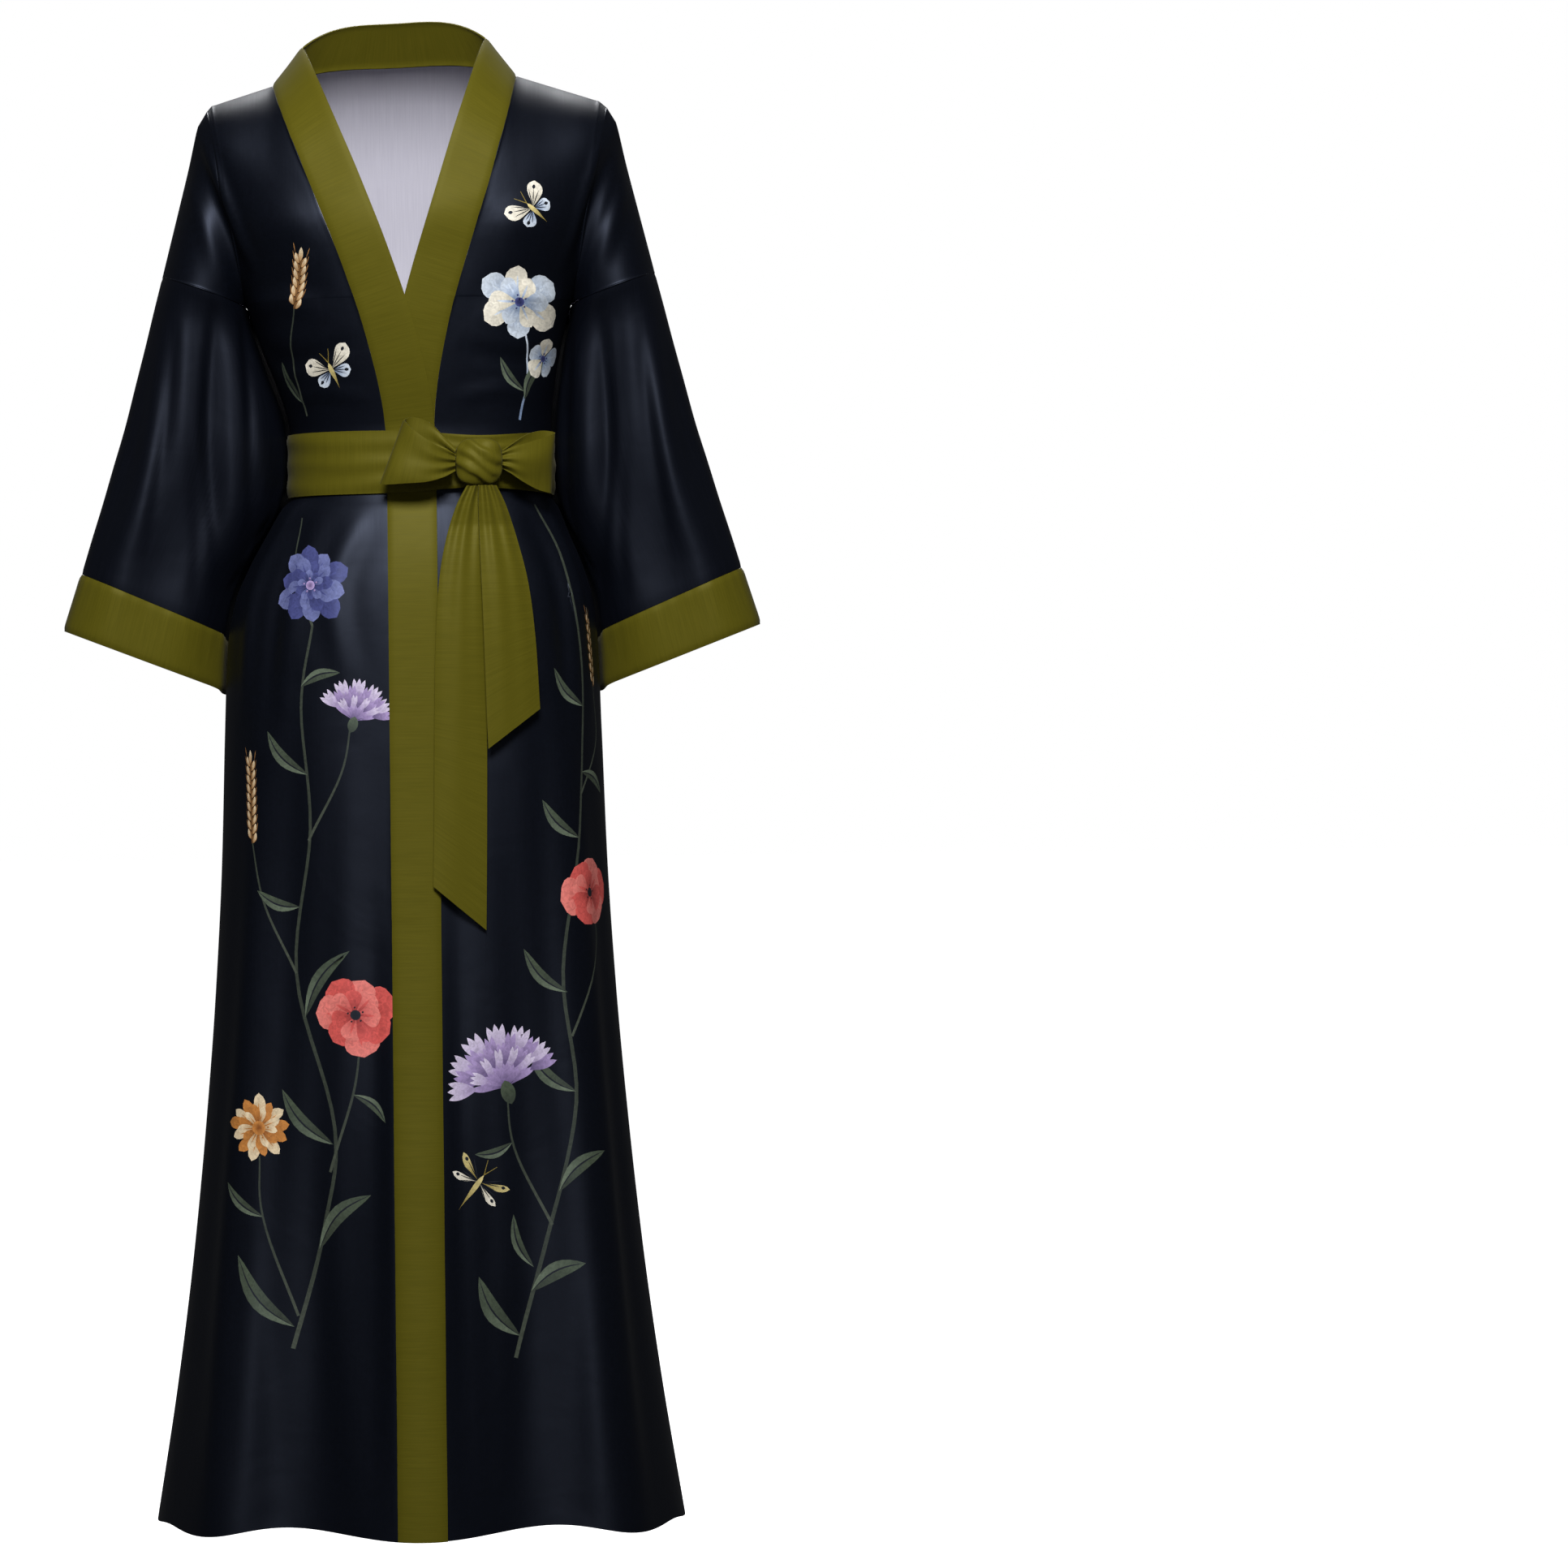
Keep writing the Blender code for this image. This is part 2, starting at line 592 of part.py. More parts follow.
def back_panel(colour):
    """The back, cut in one piece from sleeve seam to sleeve seam."""
    halves = []
    for side in (-1, 1):
        yoke, lower = panel_grid(side, 1, None)
        halves.append((shape_back_neck(yoke), lower))
    (right_yoke, right_low), (left_yoke, left_low) = halves
    yoke = right_yoke + left_yoke[-2::-1]
    lower = right_low + left_low[-2::-1]
    points, faces = panel_mesh(yoke, lower)
    return shell_object("back_panel", points, faces, CLOTH_WALL, from_the_middle, colour, panel_cut(1))


def back_neck_point(angle):
    """A point on the back neck seam. angle is 0 at the wearer's left neck side and pi at the right."""
    x = NECK_MIDDLE + NECK_HALF * math.cos(angle)
    y = BACK_NECK_DEPTH * math.sin(angle)
    z = float(shoulder_top(x)) - 0.0001
    for _ in range(6):
        full = float(body_depth(x, z - SHOULDER_ROUND_NECK, 1))
        drop = SHOULDER_ROUND_NECK * (1 - math.sqrt(1 - min(y / full, 0.99) ** 2))
        z = float(shoulder_top(x)) - drop
    return np.array([x, max(float(body_depth(x, z, 1)), 0.0), z])


def shape_back_neck(yoke):
    """Moves the inner columns of the back's yoke so that they start on the back neck seam."""
    side = 1 if yoke[0][0][0] > 0 else -1
    neck_x = NECK_MIDDLE + side * NECK_HALF
    t = yoke_shares()
    shaped = []
    for i, column in enumerate(yoke):
        place = (i - ARM_COLUMNS) / TORSO_COLUMNS
        if place <= 0:
            shaped.append(column)
            continue
        shoulder_share = BACK_SHOULDER_COLUMNS / TORSO_COLUMNS
        if i - ARM_COLUMNS <= BACK_SHOULDER_COLUMNS:
            top_x = side * TIP_X + (neck_x - side * TIP_X) * place / shoulder_share
            blunt = max(0.0, 1 - place / 0.12)
            top = np.array([top_x, 0.0, float(shoulder_line(top_x))])
            top = top + TIP_CHAMFER * blunt * np.array([-0.55 * side, 0.0, -0.60])
        else:
            turn = (place - shoulder_share) / (1 - shoulder_share)
            top = back_neck_point(math.pi / 2 * turn if side > 0 else math.pi - math.pi / 2 * turn)
        bottom = column[-1]
        z = top[2] + (bottom[2] - top[2]) * t
        x = top[0] + (bottom[0] - top[0]) * t**1.2
        y = body_depth(x, z, 1)
        y[0] = top[1]
        y = np.maximum(y, SEAM_GAP / 2)
        new = np.stack([x, y, z], axis=1)
        if i - ARM_COLUMNS > BACK_SHOULDER_COLUMNS:
            new[0] = seam_step(new[0], new[1])
        shaped.append(new)
    return shaped


def seam_step(edge, inner):
    """The edge point moved towards the panel's inside by the seam gap."""
    away = inner - edge
    return edge + away / np.linalg.norm(away) * SEAM_GAP


def clear_of_body(points, side):
    """Sleeve points moved sideways off the body, wherever they would come closer to it than the ease."""
    depth = np.abs(points[:, 1])
    z = points[:, 2]
    deep = np.where(points[:, 1] < 0, front_at(z), back_at(z))
    across = np.clip(1 - (depth / deep) ** SIDE_ROUNDNESS, 0, 1) ** (1 / SIDE_ROUNDNESS)
    below = smooth_step(UNDERARM_Z - z, 0.0, 0.05)
    ease = SLEEVE_EASE_TOP + (SLEEVE_EASE - SLEEVE_EASE_TOP) * below
    edge = half_width_at(z) * across + side * shift_at(z) + ease
    x = side * points[:, 0]
    soft = 0.004 * below
    pushed = 0.5 * (x + edge + np.sqrt((x - edge) ** 2 + soft**2))
    moved = points.copy()
    moved[:, 0] = side * np.where(z < UNDERARM_Z - 0.004, pushed, x)
    return moved


def sleeve_ring(row, side, turns):
    """Points round one section of a sleeve. turns run from the outer fold, 0, by the front to the back."""
    outer = np.array([row["outer_x"] * side, 0.0, row["outer_z"]])
    inner_x = row["inner_x"] * side + float(shift_at(row["inner_z"]))
    inner = np.array([inner_x, 0.0, row["inner_z"]])
    angle = 2 * math.pi * turns
    along = np.cos(angle)
    out = np.sin(angle)
    along = np.sign(along) * np.abs(along) ** (2 / SLEEVE_SHAPE)
    out = np.sign(out) * np.abs(out) ** (2 / SLEEVE_SHAPE)
    fold = row["fold"] * np.cos(SLEEVE_FOLDS * angle + 0.6) * smooth_step(np.abs(np.sin(angle)), 0.2, 0.6)
    depth = row["depth"] + fold
    middle, across = (outer + inner) / 2, (outer - inner) / 2
    ring = middle + along[:, None] * across
    ring[:, 1] += row["tuck"] * ((1 - along) / 2) ** 1.6 - out * depth
    return clear_of_body(ring, side)


def armhole_ring(side, turns):
    """The sleeve's first section: the armhole seam of the body, one seam gap further down the arm."""
    points = []
    for turn in turns:
        share = 2 * turn if turn <= 0.5 else 2 * (1 - turn)
        x, z = armhole_xz(share)
        face = -1 if turn <= 0.5 else 1
        depth = 0.0 if turn in (0.0, 0.5) else max(float(body_depth(side * x, z, face)), SEAM_GAP / 2)
        points.append((side * (x + 0.0016 * share**4), face * depth, z))
    points = np.array(points)
    height, up = armhole_height(points)
    return points - up * (height + SEAM_GAP)[:, None]


def sleeve_cut(outer, inner, normals):
    """Cuts a sleeve's wall square to the armhole seam."""
    height, up = armhole_height(outer)
    on_seam = np.abs(height + SEAM_GAP) < 0.00002
    inner_height, _ = armhole_height(inner)
    cut = inner + up * (height - inner_height)[:, None]
    return np.where(on_seam[:, None], cut, inner)


def sleeve_rows(start, end):
    """Named rows of the SLEEVE table from start to end, both included."""
    return [dict(zip(SLEEVE_COLUMNS, row)) for row in SLEEVE[start : end + 1]]


def sleeve_outwards(middle_x):
    """Outwards for a sleeve whose middle is at that x."""
    return lambda centre: Vector((centre.x - middle_x, centre.y, 0.0))


def sleeve(name, side, colour):
    """A sleeve: a flattened tube that widens from the armhole seam to the cuff seam."""
    turns = np.arange(SLEEVE_RING) / SLEEVE_RING
    rings = [armhole_ring(side, turns)]
    rows = sleeve_rows(0, CUFF_FROM - 1)
    for row in rows[1:]:
        rings.append(sleeve_ring(row, side, turns))
    faces = grid_faces(len(rings), SLEEVE_RING, closed=True)
    outwards = sleeve_outwards(side * 0.2)
    return shell_object(name, np.concatenate(rings), faces, CLOTH_WALL, outwards, colour, sleeve_cut)


def cuff(name, side, colour):
    """The band at the end of a sleeve."""
    turns = np.arange(SLEEVE_RING) / SLEEVE_RING
    rows = sleeve_rows(CUFF_FROM - 1, len(SLEEVE) - 1)
    first = sleeve_ring(rows[0], side, turns)
    second = sleeve_ring(rows[2], side, turns)
    down = second - first
    step = down / np.linalg.norm(down, axis=1)[:, None] * SEAM_GAP
    rings = [first + step] + [first + step + (second - first - step) * share for share in (0.5, 1.0)]
    faces = grid_faces(len(rings), SLEEVE_RING, closed=True)
    return shell_object(name, np.concatenate(rings), faces, CLOTH_WALL, sleeve_outwards(side * 0.25), colour)


def band_station(side, z):
    """Seam edge and free edge of the neckband on a front, at the seam's height z."""
    seam_x = float(SEAM_X[side](z))
    step = 0.004
    run = (float(SEAM_X[side](z - step)) - float(SEAM_X[side](z + step))) / (2 * step)
    across = np.array([-side, abs(run)]) / math.hypot(1.0, run)
    edge = front_point(seam_x, z, side)
    lying = front_point(seam_x + BAND_WIDTH * across[0], max(z + BAND_WIDTH * across[1], HEM_Z), side)
    standing = edge + neck_stand(math.pi if side < 0 else 0.0)
    rise = float(smooth_step(z, BAND_LIES_BELOW, 0.0))
    return edge, lying + (standing - lying) * rise


def neck_stand(angle):
    """The band's width as it stands round the neck, leaning in towards it."""
    towards = np.array([-0.61 * math.cos(angle), 0.03 - 0.58 * math.sin(angle), 0.80 + 0.07 * math.sin(angle)])
    return towards / np.linalg.norm(towards) * BAND_WIDTH


def seam_heights(side):
    """Heights of the front's rows along its band seam, from the shoulder down to the hem."""
    top = float(shoulder_line(NECK_MIDDLE + side * NECK_HALF))
    yoke = top + (UNDERARM_Z - top) * yoke_shares()
    return np.concatenate([yoke, BODY_ROWS[1:]])


def band_lines():
    """The seam edge and the free edge of the neckband, from the right hem round the neck to the left hem."""
    pairs = [band_station(-1, z) for z in seam_heights(-1)[:0:-1]]
    around = np.linspace(math.pi, 0, 2 * (TORSO_COLUMNS - BACK_SHOULDER_COLUMNS) + 1)
    for angle in around:
        edge = back_neck_point(angle)
        pairs.append((edge, edge + neck_stand(angle)))
    pairs += [band_station(1, z) for z in seam_heights(1)[1:]]
    edges, frees = zip(*pairs)
    return np.array(edges), np.array(frees)


def band_spans():
    """The band's two edges, with its turn from the lapels into the standing collar eased."""
    edges, frees = band_lines()
    towards = frees - edges
    eased = (edges[:, 2] > BAND_LIES_BELOW)[:, None]
    for _ in range(8):
        smoothed = towards.copy()
        smoothed[1:-1] = (towards[:-2] + 2 * towards[1:-1] + towards[2:]) / 4
        towards = np.where(eased, smoothed, towards)
    length = np.linalg.norm(towards, axis=1)[:, None]
    return edges, edges + towards / length * BAND_WIDTH


def neckband(colour):
    """The long band sewn round the neck and down both fronts to the hem."""
    edges, frees = band_spans()
    share = np.linspace(0, 1, BAND_COLUMNS + 1)
    rows = []
    for edge, free in zip(edges, frees):
        side = -1 if edge[0] < 0 else 1
        line = edge + np.outer(share, free - edge)
        if edge[2] < BAND_LIES_BELOW:
            line = front_point(line[:, 0], line[:, 2], side)
        line[:, 2] = hem_height(line[:, 0], line[:, 2], ring_angle(line[:, 0], line[:, 2]))
        rows.append(line)
    faces = grid_faces(len(rows), BAND_COLUMNS + 1)

    def cut(outer, inner, normals):
        side = np.sign(outer[:, 0])
        seam = np.where(side < 0, SEAM_X[-1](outer[:, 2]), SEAM_X[1](outer[:, 2]))
        on_front = (np.abs(outer[:, 0] - seam) < 0.0001) & (outer[:, 2] < BAND_CUT_SQUARE_BELOW)
        return np.where(on_front[:, None], to_the_back(outer, normals, BAND_WALL), inner)

    points = np.concatenate(rows)
    return shell_object("neckband", points, faces, BAND_WALL, from_the_middle, colour, cut)


def waist_point(angle, z, off):
    """A point that far off the outside of the body at the waist. angle runs a full turn from the left side."""
    face = -1 if math.sin(angle) >= 0 else 1
    x = float(ring_x(math.acos(math.cos(angle)), z))
    y = face * float(body_depth(x, z, face))
    step = 0.002
    x2 = float(ring_x(math.acos(max(-1.0, min(1.0, math.cos(angle + step)))), z))
    face2 = -1 if math.sin(angle + step) >= 0 else 1
    y2 = face2 * float(body_depth(x2, z, face2))
    normal = np.array([-(y2 - y), x2 - x, 0.0])
    if normal[0] * (x - float(shift_at(z))) + normal[1] * y < 0:
        normal = -normal
    return np.array([x, y, z]) + off * normal / np.linalg.norm(normal)


def sash(colour):
    """The part of the sash that goes round the waist, upright all round."""
    turns = SASH_TURNS
    rings = []
    for share in (0.0, 0.5, 1.0):
        ring = []
        for i in range(turns):
            angle = 2 * math.pi * (i + 0.5) / turns
            probe = waist_point(angle, KNOT_Z, 0.0)
            near = math.exp(-(((probe[0] - KNOT_X) / SASH_PULL_REACH) ** 2)) if probe[1] < 0 else 0.0
            top = SASH_TOP_Z - SASH_PULL * near
            bottom = SASH_BOTTOM_Z + SASH_PULL * near
            ring.append(waist_point(angle, top + (bottom - top) * share, SASH_EASE + SASH_WALL))
        rings.append(ring)
    rings = np.array(rings)
    middle = rings[:, :, :2].mean(axis=(0, 1))
    reach = np.linalg.norm(rings[:, :, :2] - middle, axis=2)
    rings[:, :, :2] = middle + (rings[:, :, :2] - middle) * (reach.max(axis=0) / reach)[..., None]
    faces = grid_faces(3, turns, closed=True)
    return shell_object("sash_wrap", rings.reshape(-1, 3), faces, SASH_WALL, from_the_middle, colour)


def knot_middle():
    """The middle of the knot, in front of the sash."""
    return np.array([KNOT_X, -float(body_depth(KNOT_X, KNOT_Z, -1)) - KNOT_OFF_BODY, KNOT_Z])


def off_sash(across, out, up):
    """A point beside the knot: across from its middle, out from the sash's outer face, and up."""
    x = KNOT_X + across
    past = max(0.0, x - LOOP_TURN_X)
    depth = float(body_depth(x - past, KNOT_Z, -1)) - LOOP_TURN_SLOPE * past
    return np.array([x, -depth - SASH_EASE - SASH_WALL - out, KNOT_Z + up])


def bow_loop(name, table, colour):
    """A loop of the bow: the sash folded back on itself, pinched at the knot."""
    rows = [dict(zip(LOOP_COLUMNS, row)) for row in table]
    spine = np.array([off_sash(r["across"], r["out"], r["up"]) for r in rows])
    share = np.linspace(-1, 1, 5)
    points = []
    for row, middle in zip(rows, spine):
        for s in share:
            bow = 0.0022 * (1 - s * s) * (1 if row["out"] > 0.015 else -0.3)
            points.append(middle + [s * row["edge_tilt"], -bow, s * row["half_width"]])
    faces = grid_faces(len(rows), len(share))
    centre = Vector(np.mean(points, axis=0))

    def outwards(place):
        return place - centre

    return shell_object(name, points, faces, SASH_WALL, outwards, colour)


def bow_knot(colour):
    """The knot: a flattened ball with a fold drawn in across it."""
    mesh = bpy.data.meshes.new("bow_knot")
    work = bmesh.new()
    bmesh.ops.create_uvsphere(work, u_segments=20, v_segments=12, radius=1.0)
    middle = knot_middle()
    for vertex in work.verts:
        x, y, z = vertex.co
        pinch = 1 - 0.10 * math.exp(-(((x * 0.5 + z) / 0.28) ** 2)) * (1 if y < 0 else 0)
        square = max((abs(x) ** 3 + abs(z) ** 3) ** (1 / 3) / max(math.hypot(x, z), 1e-6), 0.8)
        scale = np.array([pinch / square, pinch, pinch / square]) * np.array(KNOT_HALF)
        vertex.co = Vector(middle + np.array([x, y, z]) * scale)
    work.to_mesh(mesh)
    work.free()
    mesh.shade_smooth()
    mesh.materials.append(colour)
    made = bpy.data.objects.new("bow_knot", mesh)
    garment.objects.link(made)
    return made


def bow_tail(name, table, cut, colour):
    """A hanging end of the sash, cut on the slant at its tip."""
    rows = [dict(zip(TAIL_COLUMNS, row)) for row in table]
    share = np.linspace(-1, 1, 5)
    points = []
    last = len(rows) - 1
    for i, row in enumerate(rows):
        x = KNOT_X + row["middle"] + share * row["half_width"]
        slant = cut * share * 0.5 if i == last else 0.0
        z = KNOT_Z - row["drop"] - np.abs(cut) * 0.5 * (i == last) - slant
        roll = TAIL_ROLL * (1 - share**2)
        z_body = np.minimum(z, SASH_BOTTOM_Z - 0.03)
        y = -body_depth(x, z_body, -1) - row["off_body"] - roll
        points += [list(p) for p in np.stack(np.broadcast_arrays(x, y, z), axis=1)]
    faces = grid_faces(len(rows), len(share))

    def outwards(_):
        return Vector((0.0, -1.0, 0.0))

    return shell_object(name, points, faces, SASH_WALL, outwards, colour)


def clear_scene():
    """Removes what the scene starts with."""
    for old in list(bpy.data.objects):
        bpy.data.objects.remove(old)


clear_scene()
garment = bpy.data.collections.new("kimono_robe")
bpy.context.scene.collection.children.link(garment)
navy_satin = satin("navy_satin", NAVY, 0.38)
olive_satin = satin("olive_satin", OLIVE, 0.42)

back_panel(navy_satin)
front_panel("right_front", -1, navy_satin)
front_panel("left_front", 1, navy_satin)
for side_name, side_sign in (("right", -1), ("left", 1)):
    sleeve(f"{side_name}_sleeve", side_sign, navy_satin)
    cuff(f"{side_name}_cuff", side_sign, olive_satin)
neckband(olive_satin)
sash(olive_satin)
bow_knot(olive_satin)
bow_loop("bow_loop_right", RIGHT_LOOP, olive_satin)
bow_loop("bow_loop_left", LEFT_LOOP, olive_satin)
bow_tail("bow_tail_long", LONG_TAIL, LONG_TAIL_CUT, olive_satin)
bow_tail("bow_tail_short", SHORT_TAIL, SHORT_TAIL_CUT, olive_satin)
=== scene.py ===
"""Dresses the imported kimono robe: fine satin over each solid, its printed flowers, seams and folds.

Metres, +Z up. The front faces -Y and the wearer's left is +X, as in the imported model.
"""

import logging
import math
from dataclasses import dataclass
from enum import Enum

import bpy
import numpy as np
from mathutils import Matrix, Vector
from mathutils.bvhtree import BVHTree
from mathutils.geometry import delaunay_2d_cdt

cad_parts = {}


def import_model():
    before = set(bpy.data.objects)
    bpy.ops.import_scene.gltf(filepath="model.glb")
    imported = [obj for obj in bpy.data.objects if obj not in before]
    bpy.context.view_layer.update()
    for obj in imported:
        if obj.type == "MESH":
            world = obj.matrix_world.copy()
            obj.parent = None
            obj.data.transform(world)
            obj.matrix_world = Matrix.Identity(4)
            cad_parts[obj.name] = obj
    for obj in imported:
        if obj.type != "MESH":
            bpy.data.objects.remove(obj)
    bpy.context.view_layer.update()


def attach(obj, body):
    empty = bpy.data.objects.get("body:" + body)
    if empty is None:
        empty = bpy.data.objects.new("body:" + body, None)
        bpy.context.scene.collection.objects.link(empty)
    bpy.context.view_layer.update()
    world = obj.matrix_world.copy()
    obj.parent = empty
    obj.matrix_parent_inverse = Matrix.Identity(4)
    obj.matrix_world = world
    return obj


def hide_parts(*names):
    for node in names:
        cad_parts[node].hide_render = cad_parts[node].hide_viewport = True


log = logging.getLogger("kimono_robe")
MM = 0.001
PRINT_LAYER = "print"
CLOTH_MAP = "cloth"
WHITE = (1, 1, 1, 1)
Material = bpy.types.Material
Socket = bpy.types.NodeSocket
Piece = bpy.types.Object
Array = np.ndarray
Reals = np.ndarray | float
Pair = tuple[float, float]
Table = tuple[tuple[float, ...], ...]
Line = tuple[Pair, ...]


def linear(code: str) -> tuple[float, float, float, float]:
    """Turns an sRGB hex value into the linear colour that shaders and colour layers use.

    Args:
        code: six hex digits with a leading #.

    Returns:
        Linear red, green and blue, and an alpha of 1.
    """
    parts = [int(code[i : i + 2], 16) / 255 for i in (1, 3, 5)]
    made = [p / 12.92 if p <= 0.04045 else ((p + 0.055) / 1.055) ** 2.4 for p in parts]
    return (made[0], made[1], made[2], 1.0)


def set_inputs(node: bpy.types.Node, values: dict) -> None:
    """Puts constants on a node's input sockets, by socket name or number."""
    for name, value in values.items():
        node.inputs[name].default_value = value


def add_node(
    material: Material,
    kind: str,
    settings: dict | None = None,
    values: dict | None = None,
    links: dict | None = None,
) -> bpy.types.Node:
    """Adds one node to a material with its settings, socket values and incoming links.

    Args:
        material: the material whose tree gets the node.
        kind: Blender's name of the node type, after ShaderNode.
        settings: properties of the node, by name.
        values: constants for its input sockets, by socket name or number.
        links: output sockets that feed its input sockets, by socket name or number.

    Returns:
        The new node.
    """
    tree = material.node_tree
    made = tree.nodes.new("ShaderNode" + kind)
    for name, value in (settings or {}).items():
        setattr(made, name, value)
    set_inputs(made, values or {})
    for name, source in (links or {}).items():
        tree.links.new(source, made.inputs[name])
    return made


def smooth_step(value: Reals, start: float, end: float) -> Array:
    """Eases from 0 before start to 1 after end."""
    t = np.clip((np.asarray(value, float) - start) / (end - start), 0.0, 1.0)
    return t * t * (3 - 2 * t)


def swell(away: Reals, reach: float) -> Array:
    """A soft rise that is 1 where away is 0 and fades over that reach."""
    return np.exp(-((away / reach) ** 2))


def near_ends(place: Array, reach: float, whole: float = 1.0, far: float = 1.0) -> Array:
    """Rises to 1 at place 0 and to far at the other end, whole."""
    return swell(place, reach) + far * swell(whole - place, reach)


def quarter_round(share: Reals) -> Array:
    """Rises from 0 to 1 as a quarter circle while share goes from 0 to 1."""
    return np.sqrt(np.clip(1 - (1 - np.clip(share, 0, 1)) ** 2, 0, 1))


class Curve:
    """A smooth curve through a table's rows, with no overshoot between them."""

    def __init__(self, known: Array, values: Array) -> None:
        """Fits the curve.

        Args:
            known: places along the curve, in any order that rises or falls steadily.
            values: the curve's value at each place.
        """
        order = np.argsort(known)
        self.known = np.asarray(known, float)[order]
        self.values = np.asarray(values, float)[order]
        self.gaps = np.diff(self.known)
        slopes = np.diff(self.values) / self.gaps
        ends = np.concatenate([[slopes[0]], np.zeros(len(self.known) - 2), [slopes[-1]]])
        for i in range(1, len(self.known) - 1):
            if slopes[i - 1] * slopes[i] > 0:
                before = 2 * self.gaps[i] + self.gaps[i - 1]
                after = self.gaps[i] + 2 * self.gaps[i - 1]
                ends[i] = (before + after) / (before / slopes[i - 1] + after / slopes[i])
        self.ends = ends

    def __call__(self, at: Reals) -> Array:
        """Reads the curve at one place or at many."""
        at = np.clip(np.asarray(at, float), self.known[0], self.known[-1])
        i = np.clip(np.searchsorted(self.known, at, side="right") - 1, 0, len(self.gaps) - 1)
        t = (at - self.known[i]) / self.gaps[i]
        return (
            (1 + 2 * t) * (1 - t) ** 2 * self.values[i]
            + t * (1 - t) ** 2 * self.gaps[i] * self.ends[i]
            + t * t * (3 - 2 * t) * self.values[i + 1]
            + t * t * (t - 1) * self.gaps[i] * self.ends[i + 1]
        )


def table_curves(columns: tuple[str, ...], rows: Table) -> dict[str, Curve]:
    """One curve per column of a table, each read by the first column."""
    table = np.array(rows, float)
    return {name: Curve(table[:, 0], table[:, i]) for i, name in enumerate(columns) if i}


@dataclass(frozen=True)
class RobeForm:
    """The robe's outer surface, by the same measures as its solids."""

    band_width: float = 45 * MM
    seam_gap: float = 0.3 * MM
    layer_step: float = 4 * MM
    band_lies_below: float = -0.110
    underarm: Pair = (0.150, -0.208)
    arm: Pair = (0.2276, -0.180)
    tip: Pair = (0.1880, -0.0245)
    tip_chamfer: float = 7 * MM
    tip_reach: float = 0.12
    tip_blunt: Pair = (0.55, 0.60)
    arm_column_bow: float = 12 * MM
    arm_round: float = 0.0388
    arm_depth: float = 0.058
    neck_side_x: float = 0.1237
    neck_side_z: float = -0.004
    shoulder_drop: float = 0.316
    roundness: float = 2.35
    shoulder_round: Pair = (0.100, 0.050)
    underarm_ease: Pair = (2.2 * MM, 12 * MM)
    back_neck_depth: float = 0.044
    nape_top: float = 0.0270
    back_shoulder_share: float = 4 / 13
    hem_z: float = -1.3245
    flute_turn: float = 6.8
    flute_top_z: float = -0.50
    flute_depth: float = 22 * MM
    hem_wave: float = 4.5 * MM
    body_columns: tuple[str, ...] = ("z", "half_width", "front", "back", "shift")
    body_rows: Table = (
        (0.06, 0.23, 0.094, 0.092, 0.0),
        (0.0, 0.218, 0.101, 0.095, 0.0),
        (-0.08, 0.196, 0.113, 0.103, 0.0),
        (-0.15, 0.17, 0.123, 0.108, 0.0),
        (-0.208, 0.15, 0.119, 0.103, 0.0),
        (-0.248, 0.138, 0.113, 0.097, 0.002),
        (-0.285, 0.1275, 0.105, 0.091, 0.006),
        (-0.312, 0.1218, 0.098, 0.087, 0.0088),
        (-0.3275, 0.1203, 0.0945, 0.0855, 0.01),
        (-0.356, 0.1198, 0.094, 0.085, 0.01),
        (-0.385, 0.1203, 0.0945, 0.086, 0.0095),
        (-0.394, 0.127, 0.0985, 0.092, 0.0085),
        (-0.42, 0.14, 0.106, 0.102, 0.006),
        (-0.45, 0.1545, 0.112, 0.114, 0.004),
        (-0.48, 0.165, 0.116, 0.122, 0.002),
        (-0.52, 0.1708, 0.119, 0.128, 0.0005),
        (-0.6, 0.174, 0.122, 0.131, 0.0),
        (-0.72, 0.178, 0.126, 0.133, 0.0),
        (-0.84, 0.185, 0.131, 0.136, 0.0),
        (-0.96, 0.195, 0.138, 0.141, 0.0),
        (-1.08, 0.2075, 0.146, 0.148, 0.0),
        (-1.2, 0.2235, 0.156, 0.157, 0.0),
        (-1.3245, 0.2435, 0.168, 0.168, 0.0),
    )
    seam_columns: tuple[str, ...] = ("z", "right", "left")
    seam_rows: Table = (
        (0.004, -0.126, 0.102),
        (-0.015, -0.1212, 0.0975),
        (-0.045, -0.1115, 0.0905),
        (-0.075, -0.1005, 0.0822),
        (-0.105, -0.0885, 0.0735),
        (-0.135, -0.0768, 0.0642),
        (-0.165, -0.0652, 0.0547),
        (-0.195, -0.0546, 0.0456),
        (-0.225, -0.0447, 0.0374),
        (-0.255, -0.0362, 0.0307),
        (-0.285, -0.0289, 0.0254),
        (-0.315, -0.0238, 0.0224),
        (-0.345, -0.0216, 0.0215),
        (-1.3245, -0.0215, 0.0215),
    )

    def __post_init__(self) -> None:
        """Fits the curves through the tables and finds where the neckline meets the shoulders."""
        object.__setattr__(self, "body", table_curves(self.body_columns, self.body_rows))
        seams = table_curves(self.seam_columns, self.seam_rows)
        object.__setattr__(self, "seam", {-1: seams["right"], 1: seams["left"]})
        ends = {}
        for side in (-1, 1):
            x = float(self.seam[side](0.0))
            for _ in range(10):
                x = float(self.seam[side](self.shoulder_line(x)))
            ends[side] = x
        object.__setattr__(self, "neck_half", (ends[1] - ends[-1]) / 2)
        object.__setattr__(self, "neck_middle", (ends[1] + ends[-1]) / 2)

    def shoulder_line(self, x: Reals) -> Array:
        """Height of the shoulder seam over a point that far from the middle."""
        return self.neck_side_z - self.shoulder_drop * (np.abs(x) - self.neck_side_x)

